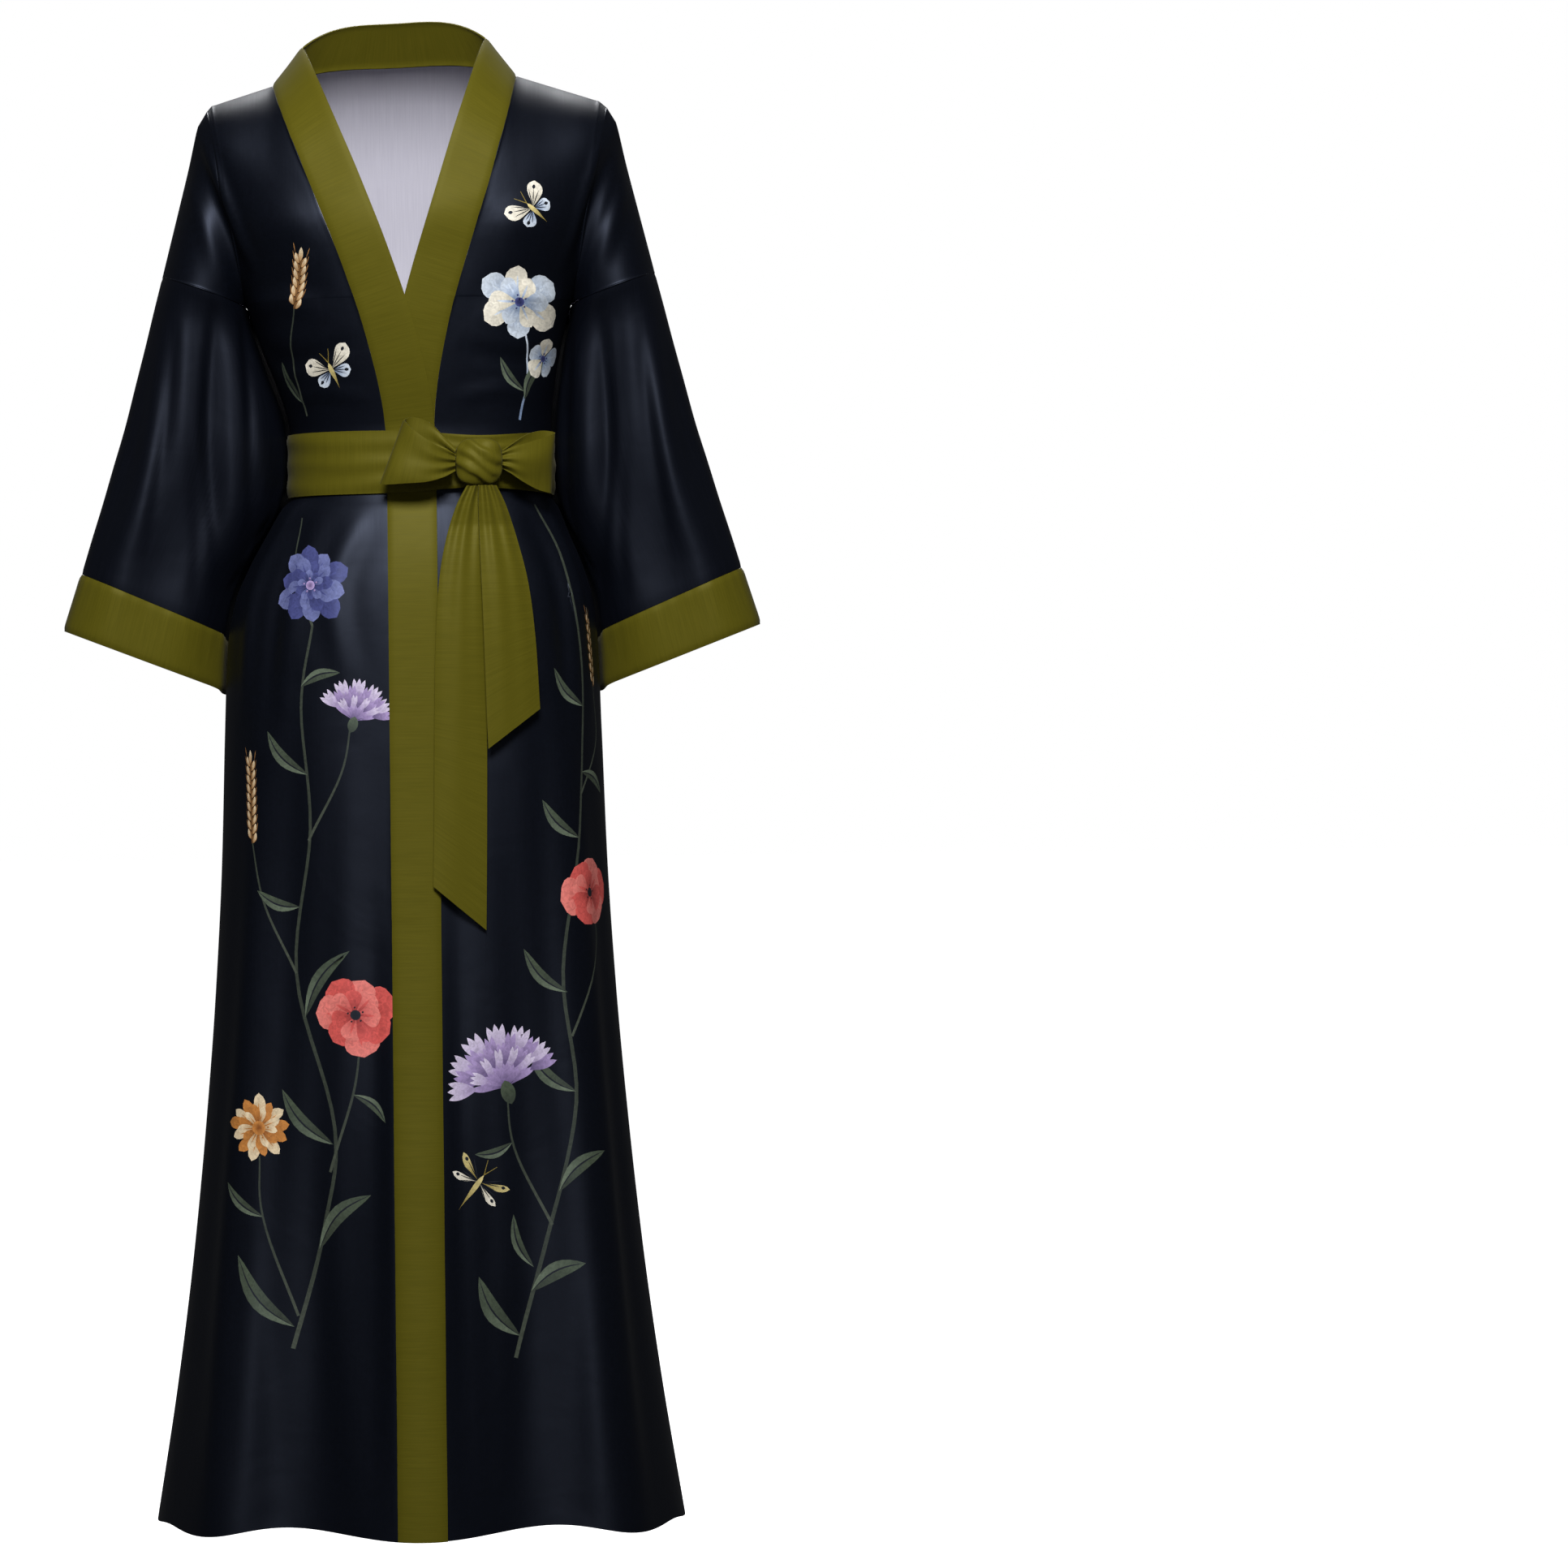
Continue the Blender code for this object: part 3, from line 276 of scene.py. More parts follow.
    def shoulder_top(self, x: Reals) -> Array:
        """Height of the top of the robe: the shoulder seams and the rise to the nape between them."""
        across = np.clip((x - self.neck_middle) / self.neck_half, -1, 1)
        left = self.shoulder_line(self.neck_middle + self.neck_half)
        right = self.shoulder_line(self.neck_middle - self.neck_half)
        level = (left + right) / 2 + (left - right) / 2 * across
        arch = level + (self.nape_top - (left + right) / 2) * (1 - np.abs(across) ** 3.2)
        return np.where(np.abs(across) < 1, arch, self.shoulder_line(x))

    def arm_edge(self, z: Reals) -> Array:
        """Distance from the middle to the outer arm line at that height."""
        return self.tip[0] + (self.arm[0] - self.tip[0]) * (self.tip[1] - z) / (self.tip[1] - self.arm[1])

    def lobes(self, angle: Array, z: Array) -> Array:
        """How far the skirt's lobes push the cloth out, at that angle round the body."""
        growth = smooth_step(-z, -self.flute_top_z, -self.hem_z) ** 1.3
        fade = smooth_step(np.abs(np.sin(angle)), 0.12, 0.5)
        return self.flute_depth * growth * fade * np.cos(self.flute_turn * (np.abs(angle) - math.pi / 2))

    def depth(self, x: Array, z: Array, face: int) -> Array:
        """How far the cloth lies from the middle plane.

        Args:
            x: places across the robe.
            z: heights.
            face: -1 for the front and 1 for the back.

        Returns:
            Distances from the plane y = 0.
        """
        x = np.asarray(x, float)
        z = np.asarray(z, float)
        deep = self.body["front"](z) if face < 0 else self.body["back"](z)
        across = (x - self.body["shift"](z)) / self.body["half_width"](z)
        torso = deep * np.clip(1 - np.abs(across) ** self.roundness, 0, 1) ** (1 / self.roundness)
        level = np.sqrt(np.clip(1 - across**2, 0, 1))
        torso = torso + self.lobes(np.arctan2(level, across), z) * level
        inner = self.underarm[0] - 0.25 * (z - self.underarm[1])
        middle = self.arm_edge(z) - self.arm_round
        reach = np.clip((middle - np.abs(x)) / np.maximum(middle - inner, 1e-4), 0, 1)
        arm = self.arm_depth * np.sqrt(1 - reach**2)
        arm = arm * quarter_round((self.arm_edge(z) - np.abs(x)) / self.arm_round)
        joined = (torso**5 + arm**5) ** 0.2
        ease = smooth_step(np.abs(x), 0.12, 0.20)
        rounding = self.shoulder_round[0] * (1 - ease) + self.shoulder_round[1] * ease
        joined = joined * quarter_round((self.shoulder_top(x) - z) / rounding)
        near = (np.abs(x) - self.underarm[0]) ** 2 + (z - self.underarm[1]) ** 2
        joined = joined + self.underarm_ease[0] * np.exp(-near / self.underarm_ease[1] ** 2)
        return np.where(z > self.underarm[1] - 0.001, joined, torso)

    def under_layer(self, x: Array, z: Array, side: int) -> Array:
        """How far the left front is pushed in, where the right front wraps over it."""
        if side < 0:
            return np.zeros(np.broadcast(x, z).shape)
        across = 1 - smooth_step(x, 0.045, 0.110)
        return self.layer_step * across * smooth_step(-np.asarray(z, float), 0.120, 0.175)

    def front_point(self, x: Array, z: Array, side: int) -> Array:
        """Points on the outside of a front at x and z."""
        y = -self.depth(x, z, -1) + self.under_layer(x, z, side)
        return np.stack(np.broadcast_arrays(x, y, z), axis=-1)

    def ring_x(self, angle: Reals, z: Reals) -> Array:
        """x of the body's oval section at an angle from the wearer's left side, 0, to the right, pi."""
        across = np.cos(angle)
        bent = np.sign(across) * np.abs(across) ** (2 / self.roundness)
        return self.body["shift"](z) + self.body["half_width"](z) * bent

    def ring_angle(self, x: Reals, z: Reals) -> Array:
        """The angle at which the oval section has that x."""
        across = np.clip((x - self.body["shift"](z)) / self.body["half_width"](z), -1, 1)
        return np.arccos(np.sign(across) * np.abs(across) ** (self.roundness / 2))

    def ring_place(self, side: int, share: float, z: Array, neckline: bool) -> Array:
        """x from the side seam, at share 0, to the neckline or the middle, at share 1."""
        start = 0.0 if side > 0 else math.pi
        z = np.asarray(z, float)
        end = self.ring_angle(self.seam[side](z) if neckline else 0 * z, z)
        return self.ring_x(start + (end - start) * share, z)

    def armhole_xz(self, turn: float) -> Array:
        """x and z on the armhole seam, from the outer arm at turn 0 to the underarm at turn 1."""
        share = 0.5 * (1 + math.cos(math.pi * turn))
        return np.array(self.underarm) + (np.array(self.arm) - self.underarm) * share

    def armhole_height(self, points: Array) -> tuple[Array, Array]:
        """How far points lie above the plane of the nearer armhole seam, and that plane's normal."""
        run = np.array(self.arm) - self.underarm
        run = run / np.linalg.norm(run)
        side = np.sign(points[:, 0])
        flat = np.zeros(len(points))
        up = np.stack([-run[1] * side, flat, flat + run[0]], axis=1)
        start = np.stack([self.underarm[0] * side, flat, flat + self.underarm[1]], axis=1)
        return np.sum((points - start) * up, axis=1), up

    def blunted(self, x: float, z: float, place: float) -> Array:
        """The ridge point softened at the shoulder tip, where the shoulder and arm lines meet."""
        blunt = self.tip_chamfer * max(0.0, 1 - abs(place) / self.tip_reach)
        return np.array([x - self.tip_blunt[0] * blunt, z - self.tip_blunt[1] * blunt])

    def yoke_column(self, place: float, side: int, neckline: bool, rows: Array) -> Array:
        """x and z down one column of the yoke, from the ridge to the underarm level or the armhole.

        Args:
            place: -1 at the sleeve seam, 0 at the shoulder tip and 1 at the neckline.
            side: the sign of x.
            neckline: whether the inner columns follow the front's neckline.
            rows: shares down the column.

        Returns:
            One row of x and z for each share.
        """
        tip, arm = np.array(self.tip), np.array(self.arm)
        if place < 0:
            top = self.blunted(*(tip + (arm - tip) * -place), place)
            path = top + np.outer(rows, self.armhole_xz(1 + place) - top)
            path[:, 0] -= self.arm_column_bow * math.sin(math.pi * place) ** 2 * 4 * rows * (1 - rows)
            return np.stack([side * path[:, 0], path[:, 1]], axis=1)
        low = self.underarm[1]
        neck_top = abs(self.neck_middle + side * self.neck_half)
        top_x = self.tip[0] + (neck_top - self.tip[0]) * place
        top = self.blunted(top_x, float(self.shoulder_line(top_x)), place)
        z = top[1] + (low - top[1]) * rows
        gone = rows
        if neckline:
            neck_low = abs(float(self.seam[side](low)))
            neck_gone = (np.abs(self.seam[side](z)) - neck_top) / (neck_low - neck_top)
            gone = (1 - place) * rows + place * neck_gone
        bottom = abs(float(self.ring_place(side, place, low, neckline)))
        return np.stack([side * (top[0] + (bottom - top[0]) * gone), z], axis=1)

    def hem_height(self, x: Array, z: Array) -> Array:
        """z with the hem's gentle wave added, strongest at the hem itself."""
        angle = self.ring_angle(x, z)
        near = smooth_step(-z, 1.10, -self.hem_z)
        wave = np.cos(self.flute_turn * (np.abs(angle) - math.pi / 2))
        return z - self.hem_wave * near * wave * smooth_step(np.abs(np.sin(angle)), 0.1, 0.5)

    def back_neck_point(self, angle: float) -> Array:
        """A point on the back neck seam, from the wearer's left, angle 0, to the right, pi."""
        x = self.neck_middle + self.neck_half * math.cos(angle)
        y = self.back_neck_depth * math.sin(angle)
        z = float(self.shoulder_top(x)) - 0.0001
        for _ in range(6):
            full = float(self.depth(x, z - self.shoulder_round[0], 1))
            drop = self.shoulder_round[0] * (1 - math.sqrt(1 - min(y / full, 0.99) ** 2))
            z = float(self.shoulder_top(x)) - drop
        return np.array([x, max(float(self.depth(x, z, 1)), 0.0), z])

    def neck_stand(self, angle: float) -> Array:
        """The band's width as it stands round the neck, leaning in towards it."""
        lean = [-0.61 * math.cos(angle), 0.03 - 0.58 * math.sin(angle), 0.80 + 0.07 * math.sin(angle)]
        return np.array(lean) / np.linalg.norm(lean) * self.band_width

    def waist_point(self, angle: float, z: float, off: float) -> Array:
        """A point that far off the cloth at the waist, a full turn of angle from the left side."""
        spots = []
        for turn in (angle, angle + 0.002):
            face = -1 if math.sin(turn) >= 0 else 1
            x = float(self.ring_x(math.acos(max(-1.0, min(1.0, math.cos(turn)))), z))
            spots.append((x, face * float(self.depth(x, z, face))))
        (x, y), (x2, y2) = spots
        normal = np.array([-(y2 - y), x2 - x, 0.0])
        if normal[0] * (x - float(self.body["shift"](z))) + normal[1] * y < 0:
            normal = -normal
        return np.array([x, y, z]) + off * normal / np.linalg.norm(normal)


@dataclass(frozen=True)
class Crease:
    """One soft fold of the cloth, along a bent line.

    path holds (x, z) points in millimetres on a panel, or (degrees round, share along) on a tube.
    width is the fold's half width and height how far it stands out, or in where it is negative.
    """

    path: Line
    width: float
    height: float
    lean: float = 0.35

    def line(self) -> Array:
        """The fold's line as close points."""
        return bent_line(np.array(self.path, float), 10)

    def lift(self, u: Array, v: Array) -> Array:
        """How far the fold moves each place of the cloth.

        Args:
            u: the places' first coordinates, in the path's units.
            v: their second coordinates.

        Returns:
            Distances along the cloth's outward direction, in metres.
        """
        line = self.line()
        best = np.full(u.shape, 1e9)
        signed = np.zeros(u.shape)
        along = np.zeros(u.shape)
        count = len(line) - 1
        for i in range(count):
            run = line[i + 1] - line[i]
            length = max(float(np.hypot(*run)), 1e-9)
            du, dv = u - line[i, 0], v - line[i, 1]
            share = np.clip((du * run[0] + dv * run[1]) / length**2, 0, 1)
            away = np.hypot(du - share * run[0], dv - share * run[1])
            nearer = away < best
            best = np.where(nearer, away, best)
            side = np.sign(run[0] * dv - run[1] * du)
            signed = np.where(nearer, side * away, signed)
            along = np.where(nearer, (i + share) / count, along)
        fade = np.sin(math.pi * np.clip(along, 0.02, 0.98)) ** 0.6
        beside = swell(signed - 1.5 * self.width, self.width)
        return self.height * MM * fade * (swell(best, self.width) - self.lean * beside)


def creases(*rows: tuple) -> tuple[Crease, ...]:
    """One crease for each row: its path, width, height and, where it isn't the usual one, its lean."""
    return tuple(Crease(*row) for row in rows)


def bent_line(points: Array, steps: int) -> Array:
    """A smooth line through points.

    Args:
        points: two or more points, one a row.
        steps: how many pieces each span is divided into.

    Returns:
        The line's points, the first and last included.
    """
    if len(points) < 3:
        return points[0] + np.linspace(0, 1, steps + 1)[:, None] * (points[-1] - points[0])
    padded = np.concatenate([[2 * points[0] - points[1]], points, [2 * points[-1] - points[-2]]])
    made = []
    for i in range(1, len(points)):
        a, b, c, d = padded[i - 1 : i + 3]
        for t in np.arange(steps) / steps:
            bend = 2 * b + (c - a) * t + (2 * a - 5 * b + 4 * c - d) * t**2 + (3 * b - a - 3 * c + d) * t**3
            made.append(0.5 * bend)
    return np.array(made + [points[-1]])


@dataclass
class Cloth:
    """A sheet of cloth as one outer surface, before it gets its thickness.

    points are in metres, flat holds each point's place on the unrolled cloth, in metres, and quads
    or triangles index the points.
    """

    points: Array
    flat: Array
    quads: list[tuple[int, ...]]

    def normals(self) -> Array:
        """One outward direction for each point."""
        made = np.zeros_like(self.points)
        for size in {len(q) for q in self.quads}:
            group = np.array([q for q in self.quads if len(q) == size])
            corner = self.points[group]
            if size == 4:
                area = np.cross(corner[:, 2] - corner[:, 0], corner[:, 3] - corner[:, 1])
            else:
                area = np.cross(corner[:, 1] - corner[:, 0], corner[:, 2] - corner[:, 0])
            for k in range(size):
                np.add.at(made, group[:, k], area)
        length = np.maximum(np.linalg.norm(made, axis=1), 1e-12)
        return made / length[:, None]

    def pushed(self, lift: Array) -> None:
        """Moves each point that far outwards."""
        self.points = self.points + self.normals() * lift[:, None]

    def merged(self, reach: float = 0.02 * MM) -> "Cloth":
        """The same cloth with points that lie together made one."""
        keys = np.round(self.points / reach).astype(np.int64)
        _, first, back = np.unique(keys, axis=0, return_index=True, return_inverse=True)
        back = back.ravel()
        quads = []
        for quad in self.quads:
            corners = [int(back[i]) for i in quad]
            kept = [c for k, c in enumerate(corners) if c != corners[k - 1]]
            if len(set(kept)) >= 3:
                quads.append(tuple(kept))
        return Cloth(self.points[first], self.flat[first], quads)

    def turned_out(self, middle: Array) -> "Cloth":
        """The same cloth with its faces turned away from a middle point."""
        size = max(len(q) for q in self.quads)
        group = np.array([q for q in self.quads if len(q) == size])
        corner = self.points[group]
        last = 3 if size == 4 else 2
        area = np.cross(corner[:, 1] - corner[:, 0], corner[:, last] - corner[:, 0])
        out = corner.mean(axis=1) - middle
        if np.sum(area * out) < 0:
            self.quads = [tuple(reversed(q)) for q in self.quads]
        return self


class Weaver:
    """Turns cloths into finished, two-sided mesh objects."""

    @staticmethod
    def shell(
        name: str,
        cloth: Cloth,
        wall: float,
        outside: Material,
        inside: Material,
        colours: Array | None = None,
        normals: Array | None = None,
    ) -> Piece:
        """Gives a cloth its thickness, its reverse and its edges.

        Args:
            name: the new object's name.
            cloth: the outer surface.
            wall: thickness, in metres.
            outside: material of the outer face and the edges.
            inside: material of the reverse.
            colours: linear colour of every face corner of the outer surface, for the print.
            normals: outward directions of the points, if they are known better than from the faces.

        Returns:
            The object, with its mesh in the robe's own frame.
        """
        normals = cloth.normals() if normals is None else normals
        count = len(cloth.points)
        points = np.concatenate([cloth.points, cloth.points - normals * wall])
        used = dict.fromkeys((q[k - 1], a) for q in cloth.quads for k, a in enumerate(q))
        edges = [(a, b) for a, b in used if (b, a) not in used]
        faces = list(cloth.quads)
        faces += [tuple(i + count for i in reversed(q)) for q in cloth.quads]
        faces += [(b, a, a + count, b + count) for a, b in edges]
        mesh = bpy.data.meshes.new(name)
        mesh.from_pydata(points.tolist(), [], faces)
        mesh.materials.append(outside)
        mesh.materials.append(inside)
        n = len(cloth.quads)
        slots = np.zeros(len(faces), dtype=np.int32)
        slots[n : 2 * n] = 1
        mesh.polygons.foreach_set("material_index", slots)
        mesh.polygons.foreach_set("use_smooth", np.ones(len(faces), dtype=bool))
        corners = np.fromiter((i for f in faces for i in f), dtype=np.int64)
        layer = mesh.uv_layers.new(name=CLOTH_MAP)
        flat = np.concatenate([cloth.flat, cloth.flat])
        layer.data.foreach_set("uv", flat[corners].astype(np.float32).ravel())
        if colours is not None:
            printed = mesh.attributes.new(PRINT_LAYER, "FLOAT_COLOR", "CORNER")
            rest = np.tile(GROUND, (len(corners) - len(colours), 1))
            printed.data.foreach_set("color", np.concatenate([colours, rest]).astype(np.float32).ravel())
        mesh.update()
        outs = np.concatenate([normals, -normals])[corners].astype(np.float32)
        outs[sum(len(f) for f in faces[: 2 * n]) :] = 0.0
        mesh.normals_split_custom_set(outs.tolist())
        made = bpy.data.objects.new(name, mesh)
        bpy.context.scene.collection.objects.link(made)
        return made


def grid_quads(columns: int, rows: int, first: int = 0, closed: bool = False) -> list[tuple[int, ...]]:
    """Quads of a grid of columns by rows points, the last column joined to the first if closed."""
    made = []
    for c in range(columns if closed else columns - 1):
        a, b = first + c * rows, first + ((c + 1) % columns) * rows
        made += [(a + r, b + r, b + r + 1, a + r + 1) for r in range(rows - 1)]
    return made


def grid_cloth(grid: Array, along: Array, across: Array, closed: bool = False) -> Cloth:
    """A cloth from points by column and row, with the unrolled place of each column and row."""
    flat = np.stack(np.broadcast_arrays(along[:, None], across[None, :]), axis=-1)
    return Cloth(grid.reshape(-1, 3), flat.reshape(-1, 2), grid_quads(*grid.shape[:2], closed=closed))


GROUND = np.array(linear("#05070e"))


@dataclass(frozen=True)
class Satin:
    """Polyester charmeuse: long floats of thread along one way, so light spreads into soft broad gleams.

    colour is the dyed cloth, the second tone a paler one laid on random threads as a painted sheen of the
    floats, and gloss how tight a gleam is.
    """

    name: str
    colour: str
    # a paler tone, laid on random threads as a painted sheen of the satin floats
    painted_sheen_tone: str
    roughness: float
    specular: float
    printed: bool = False
    crinkle: float = 0.35
    sheen: float = 0.04
    gleam: str = "#ffffff"

    def make(self) -> Material:
        """Builds the material.

        Returns:
            A material that reads the cloth's own flat map, in metres.
        """
        made = bpy.data.materials.new(self.name)
        made.use_nodes = True
        made.node_tree.nodes.clear()
        out = add_node(made, "OutputMaterial")
        flat = add_node(made, "UVMap", {"uv_map": CLOTH_MAP}).outputs["UV"]
        # threads: 0.1 mm in the real cloth, drawn 1.2 mm apart and 40 mm long so that they show
        threads = add_node(made, "Mapping", values={"Scale": (830.0, 25.0, 1.0)}, links={"Vector": flat})
        thread = self.noise(made, threads.outputs[0], Scale=1.0, Detail=2.0)
        # crinkles: 25 to 60 mm ripples left by wear and steam
        ripple = self.noise(made, flat, Scale=17.0, Detail=2.5, Roughness=0.45, Distortion=0.6)
        weave = self.relief(made, 0.18, 0.12 * MM, Height=thread)
        bump = self.relief(made, self.crinkle, 2.2 * MM, Height=ripple, Normal=weave)
        if self.printed:
            design = add_node(made, "Attribute", {"attribute_name": PRINT_LAYER}).outputs["Color"]
            # brush marks: 2 to 5 mm, so that each printed petal and leaf looks painted
            brush = self.noise(made, flat, Scale=240.0, Detail=3.0, Distortion=1.2)
            tone = self.spread(made, brush, (0.3, 0.7), (0.78, 1.18))
            painted = add_node(made, "VectorMath", {"operation": "MULTIPLY"}, links={0: design, 1: tone})
            base = painted.outputs["Vector"]
        else:
            # paler streaks on random threads: a painted sheen of the floats mixed over the dyed colour
            shade = self.spread(made, thread, (0.25, 0.75), (0.0, 1.0))
            dye_and_painted_sheen = {6: linear(self.colour), 7: linear(self.painted_sheen_tone)}
            base = add_node(made, "Mix", {"data_type": "RGBA"}, dye_and_painted_sheen, {0: shade}).outputs[2]
        shine = self.spread(made, thread, (0.0, 1.0), (self.roughness - 0.04, self.roughness + 0.04))
        shader = add_node(
            made,
            "BsdfPrincipled",
            values={
                "Specular IOR Level": self.specular,
                "Specular Tint": linear(self.gleam),
                "IOR": 1.5,
                "Sheen Weight": self.sheen,
                "Sheen Roughness": 0.4,
            },
            links={"Base Color": base, "Roughness": shine, "Normal": bump},
        )
        made.node_tree.links.new(shader.outputs["BSDF"], out.inputs["Surface"])
        return made

    @staticmethod
    def noise(made: Material, places: Socket, **values: float) -> Socket:
        """A noise over those places, with constants on its sockets."""
        return add_node(made, "TexNoise", values=values, links={"Vector": places}).outputs["Fac"]

    @staticmethod
    def relief(made: Material, strength: float, distance: float, **links: Socket) -> Socket:
        """A fine relief of the surface, that distance high, in metres."""
        values = {"Strength": strength, "Distance": distance}
        return add_node(made, "Bump", values=values, links=links).outputs["Normal"]

    @staticmethod
    def spread(made: Material, value: Socket, known: Pair, wanted: Pair) -> Socket:
        """A value between the known limits, spread between the wanted ones."""
        names = ("From Min", "From Max", "To Min", "To Max")
        node = add_node(made, "MapRange", values=dict(zip(names, known + wanted)), links={"Value": value})
        return node.outputs["Result"]


class Wardrobe:
    """The robe's finishes, made once."""

    def __init__(self) -> None:
        """Makes each material from what the real one is."""
        navy = {"roughness": 0.46, "specular": 0.46, "sheen": 0.0, "gleam": "#b4bfdc"}
        self.navy = Satin("printed_navy_satin", "#05060c", "#05060c", printed=True, **navy).make()
        self.plain_navy = Satin("plain_navy_satin", "#05070d", "#080a12", **navy).make()
        self.olive = Satin("olive_satin", "#524d10", "#5b5514", 0.50, 0.24, gleam="#d8d08a").make()
        # the reverse of the print: the dye doesn't go through, so the dull side is a pale lilac grey
        self.reverse = Satin("lilac_satin_reverse", "#b9b7c4", "#c2c0cc", 0.62, 0.25, crinkle=0.25).make()
        self.dark_reverse = Satin("navy_satin_reverse", "#5c5c68", "#666672", 0.62, 0.2).make()


@dataclass(frozen=True)
class Patch:
    """One flat-coloured shape of the print, fading from its focus outwards.

    outline holds (x, z) points in millimetres on the cloth; inner and outer are its two tones.
    """

    outline: Array
    inner: str
    outer: str
    focus: Pair = (0.0, 0.0)
    reach: float = 1.0

    def holds(self, places: Array) -> Array:
        """Which places lie inside the outline."""
        x, z = places[:, 0], places[:, 1]
        inside = np.zeros(len(places), dtype=bool)
        a = self.outline
        for (x1, z1), (x2, z2) in zip(a, np.roll(a, -1, axis=0)):
            if z1 != z2:
                crosses = ((z1 > z) != (z2 > z)) & (x < (x2 - x1) * (z - z1) / (z2 - z1) + x1)
                inside ^= crosses
        return inside

    def colour(self, places: Array) -> Array:
        """Linear colours at places on the cloth."""
        away = np.hypot(places[:, 0] - self.focus[0], places[:, 1] - self.focus[1])
        share = smooth_step(away, 0.0, self.reach)[:, None]
        return np.array(linear(self.inner)) * (1 - share) + np.array(linear(self.outer)) * share


@dataclass
class Printer:
    """Works a print into a cloth: the cloth's mesh is cut along every outline and coloured between."""

    cloth: Cloth
    design: tuple[Patch, ...]

    def work(self) -> tuple[Cloth, Array, Array]:
        """Cuts and colours the cloth where the print lies, and keeps its own faces elsewhere.

        Returns:
            The cloth, a linear colour for each corner of its faces, and the points' normals.
        """
        cloth, normals = self.cloth, self.cloth.normals()
        flat = cloth.flat / MM
        boxes = np.array([[*p.outline.min(axis=0) - 1, *p.outline.max(axis=0) + 1] for p in self.design])
        touched, kept = [], []
        for quad in cloth.quads:
            (x0, z0), (x1, z1) = flat[list(quad)].min(axis=0), flat[list(quad)].max(axis=0)
            meets = len(boxes) and np.any(
                (boxes[:, 0] < x1) & (boxes[:, 2] > x0) & (boxes[:, 1] < z1) & (boxes[:, 3] > z0)
            )
            (touched if meets else kept).append(quad)
        if not touched:
            return cloth, np.tile(GROUND, (sum(len(q) for q in cloth.quads), 1)), normals
        local = sorted({i for q in touched for i in q})
        number = {i: k for k, i in enumerate(local)}
        used = {(q[k - 1], a) for q in touched for k, a in enumerate(q)}
        edges = [(number[a], number[b]) for a, b in used if (b, a) not in used]
        vectors = [Vector(p) for p in flat[local].tolist()]
        for patch in self.design:
            first = len(vectors)
            vectors += [Vector(p) for p in patch.outline.tolist()]
            count = len(patch.outline)
            edges += [(first + i, first + (i + 1) % count) for i in range(count)]
        places, _, faces, origins, _, _ = delaunay_2d_cdt(vectors, edges, [], 1, 1e-3)
        places = np.array([p[:] for p in places])
        faces = np.array(faces)
        triangles = [(q[0], q[k], q[k + 1]) for q in touched for k in range(1, len(q) - 1)]
        tree = BVHTree.FromPolygons([(*p, 0.0) for p in flat.tolist()], triangles)
        middles = places[faces].mean(axis=1)
        on_cloth = np.array([tree.find_nearest((*m, 0.0))[3] < 1e-3 for m in middles.tolist()])
        faces, middles = faces[on_cloth], middles[on_cloth]
        total = len(cloth.points)
        points, outs, spots = list(cloth.points), list(normals), list(flat)
        renamed = np.zeros(len(places), dtype=np.int64)
        for i, sources in enumerate(origins):
            known = [s for s in sources if s < len(local)]
            if known:
                renamed[i] = local[known[0]]
            else:
                point, out = self.carried(tree, triangles, flat, normals, places[i])
                renamed[i] = total
                total += 1
                points.append(point)
                outs.append(out)
                spots.append(places[i])
        points, outs, spots = np.array(points), np.array(outs), np.array(spots)
        outs /= np.maximum(np.linalg.norm(outs, axis=1), 1e-9)[:, None]
        corners = places[faces]
        faces = renamed[faces]
        distinct = (faces[:, 0] != faces[:, 1]) & (faces[:, 1] != faces[:, 2]) & (faces[:, 0] != faces[:, 2])
        faces, corners, middles = faces[distinct], corners[distinct], middles[distinct]
        flip = self.facing(points, faces, outs)
        faces[flip] = faces[flip][:, ::-1]
        corners[flip] = corners[flip][:, ::-1]
        corners = corners.reshape(-1, 2)
        colours = np.tile(GROUND, (len(faces) * 3, 1))
        for patch in self.design:
            low, high = patch.outline.min(axis=0), patch.outline.max(axis=0)
            near = np.where(np.all((middles >= low) & (middles <= high), axis=1))[0]
            inside = near[patch.holds(middles[near])]
            at = (inside[:, None] * 3 + np.arange(3)).ravel()
            colours[at] = patch.colour(corners[at])
        plain = np.tile(GROUND, (sum(len(q) for q in kept), 1))
        made = Cloth(points, spots * MM, kept + [tuple(f) for f in faces.tolist()])
        return made, np.concatenate([plain, colours]), outs

    def carried(
        self, tree: BVHTree, triangles: list, flat: Array, normals: Array, place: Array
    ) -> tuple[Array, Array]:
        """The point and normal of the cloth at a place between its own points."""
        index = tree.find_nearest((*place.tolist(), 0.0))[2]
        a, b, c = triangles[index]
        one, two, off = flat[b] - flat[a], flat[c] - flat[a], place - flat[a]
        area = one[0] * two[1] - one[1] * two[0]
        if abs(area) < 1e-9:
            return self.cloth.points[a], normals[a]
        p = (off[0] * two[1] - off[1] * two[0]) / area
        q = (one[0] * off[1] - one[1] * off[0]) / area
        weights = np.clip(np.array([1 - p - q, p, q]), 0, 1)
        weights /= weights.sum()
        return weights @ self.cloth.points[[a, b, c]], weights @ normals[[a, b, c]]

    @staticmethod
    def facing(points: Array, faces: Array, outs: Array) -> Array:
        """Which triangles face inwards and have to be turned."""
        a, b, c = points[faces[:, 0]], points[faces[:, 1]], points[faces[:, 2]]
        return np.einsum("ij,ij->i", np.cross(b - a, c - a), outs[faces].sum(axis=1)) < 0


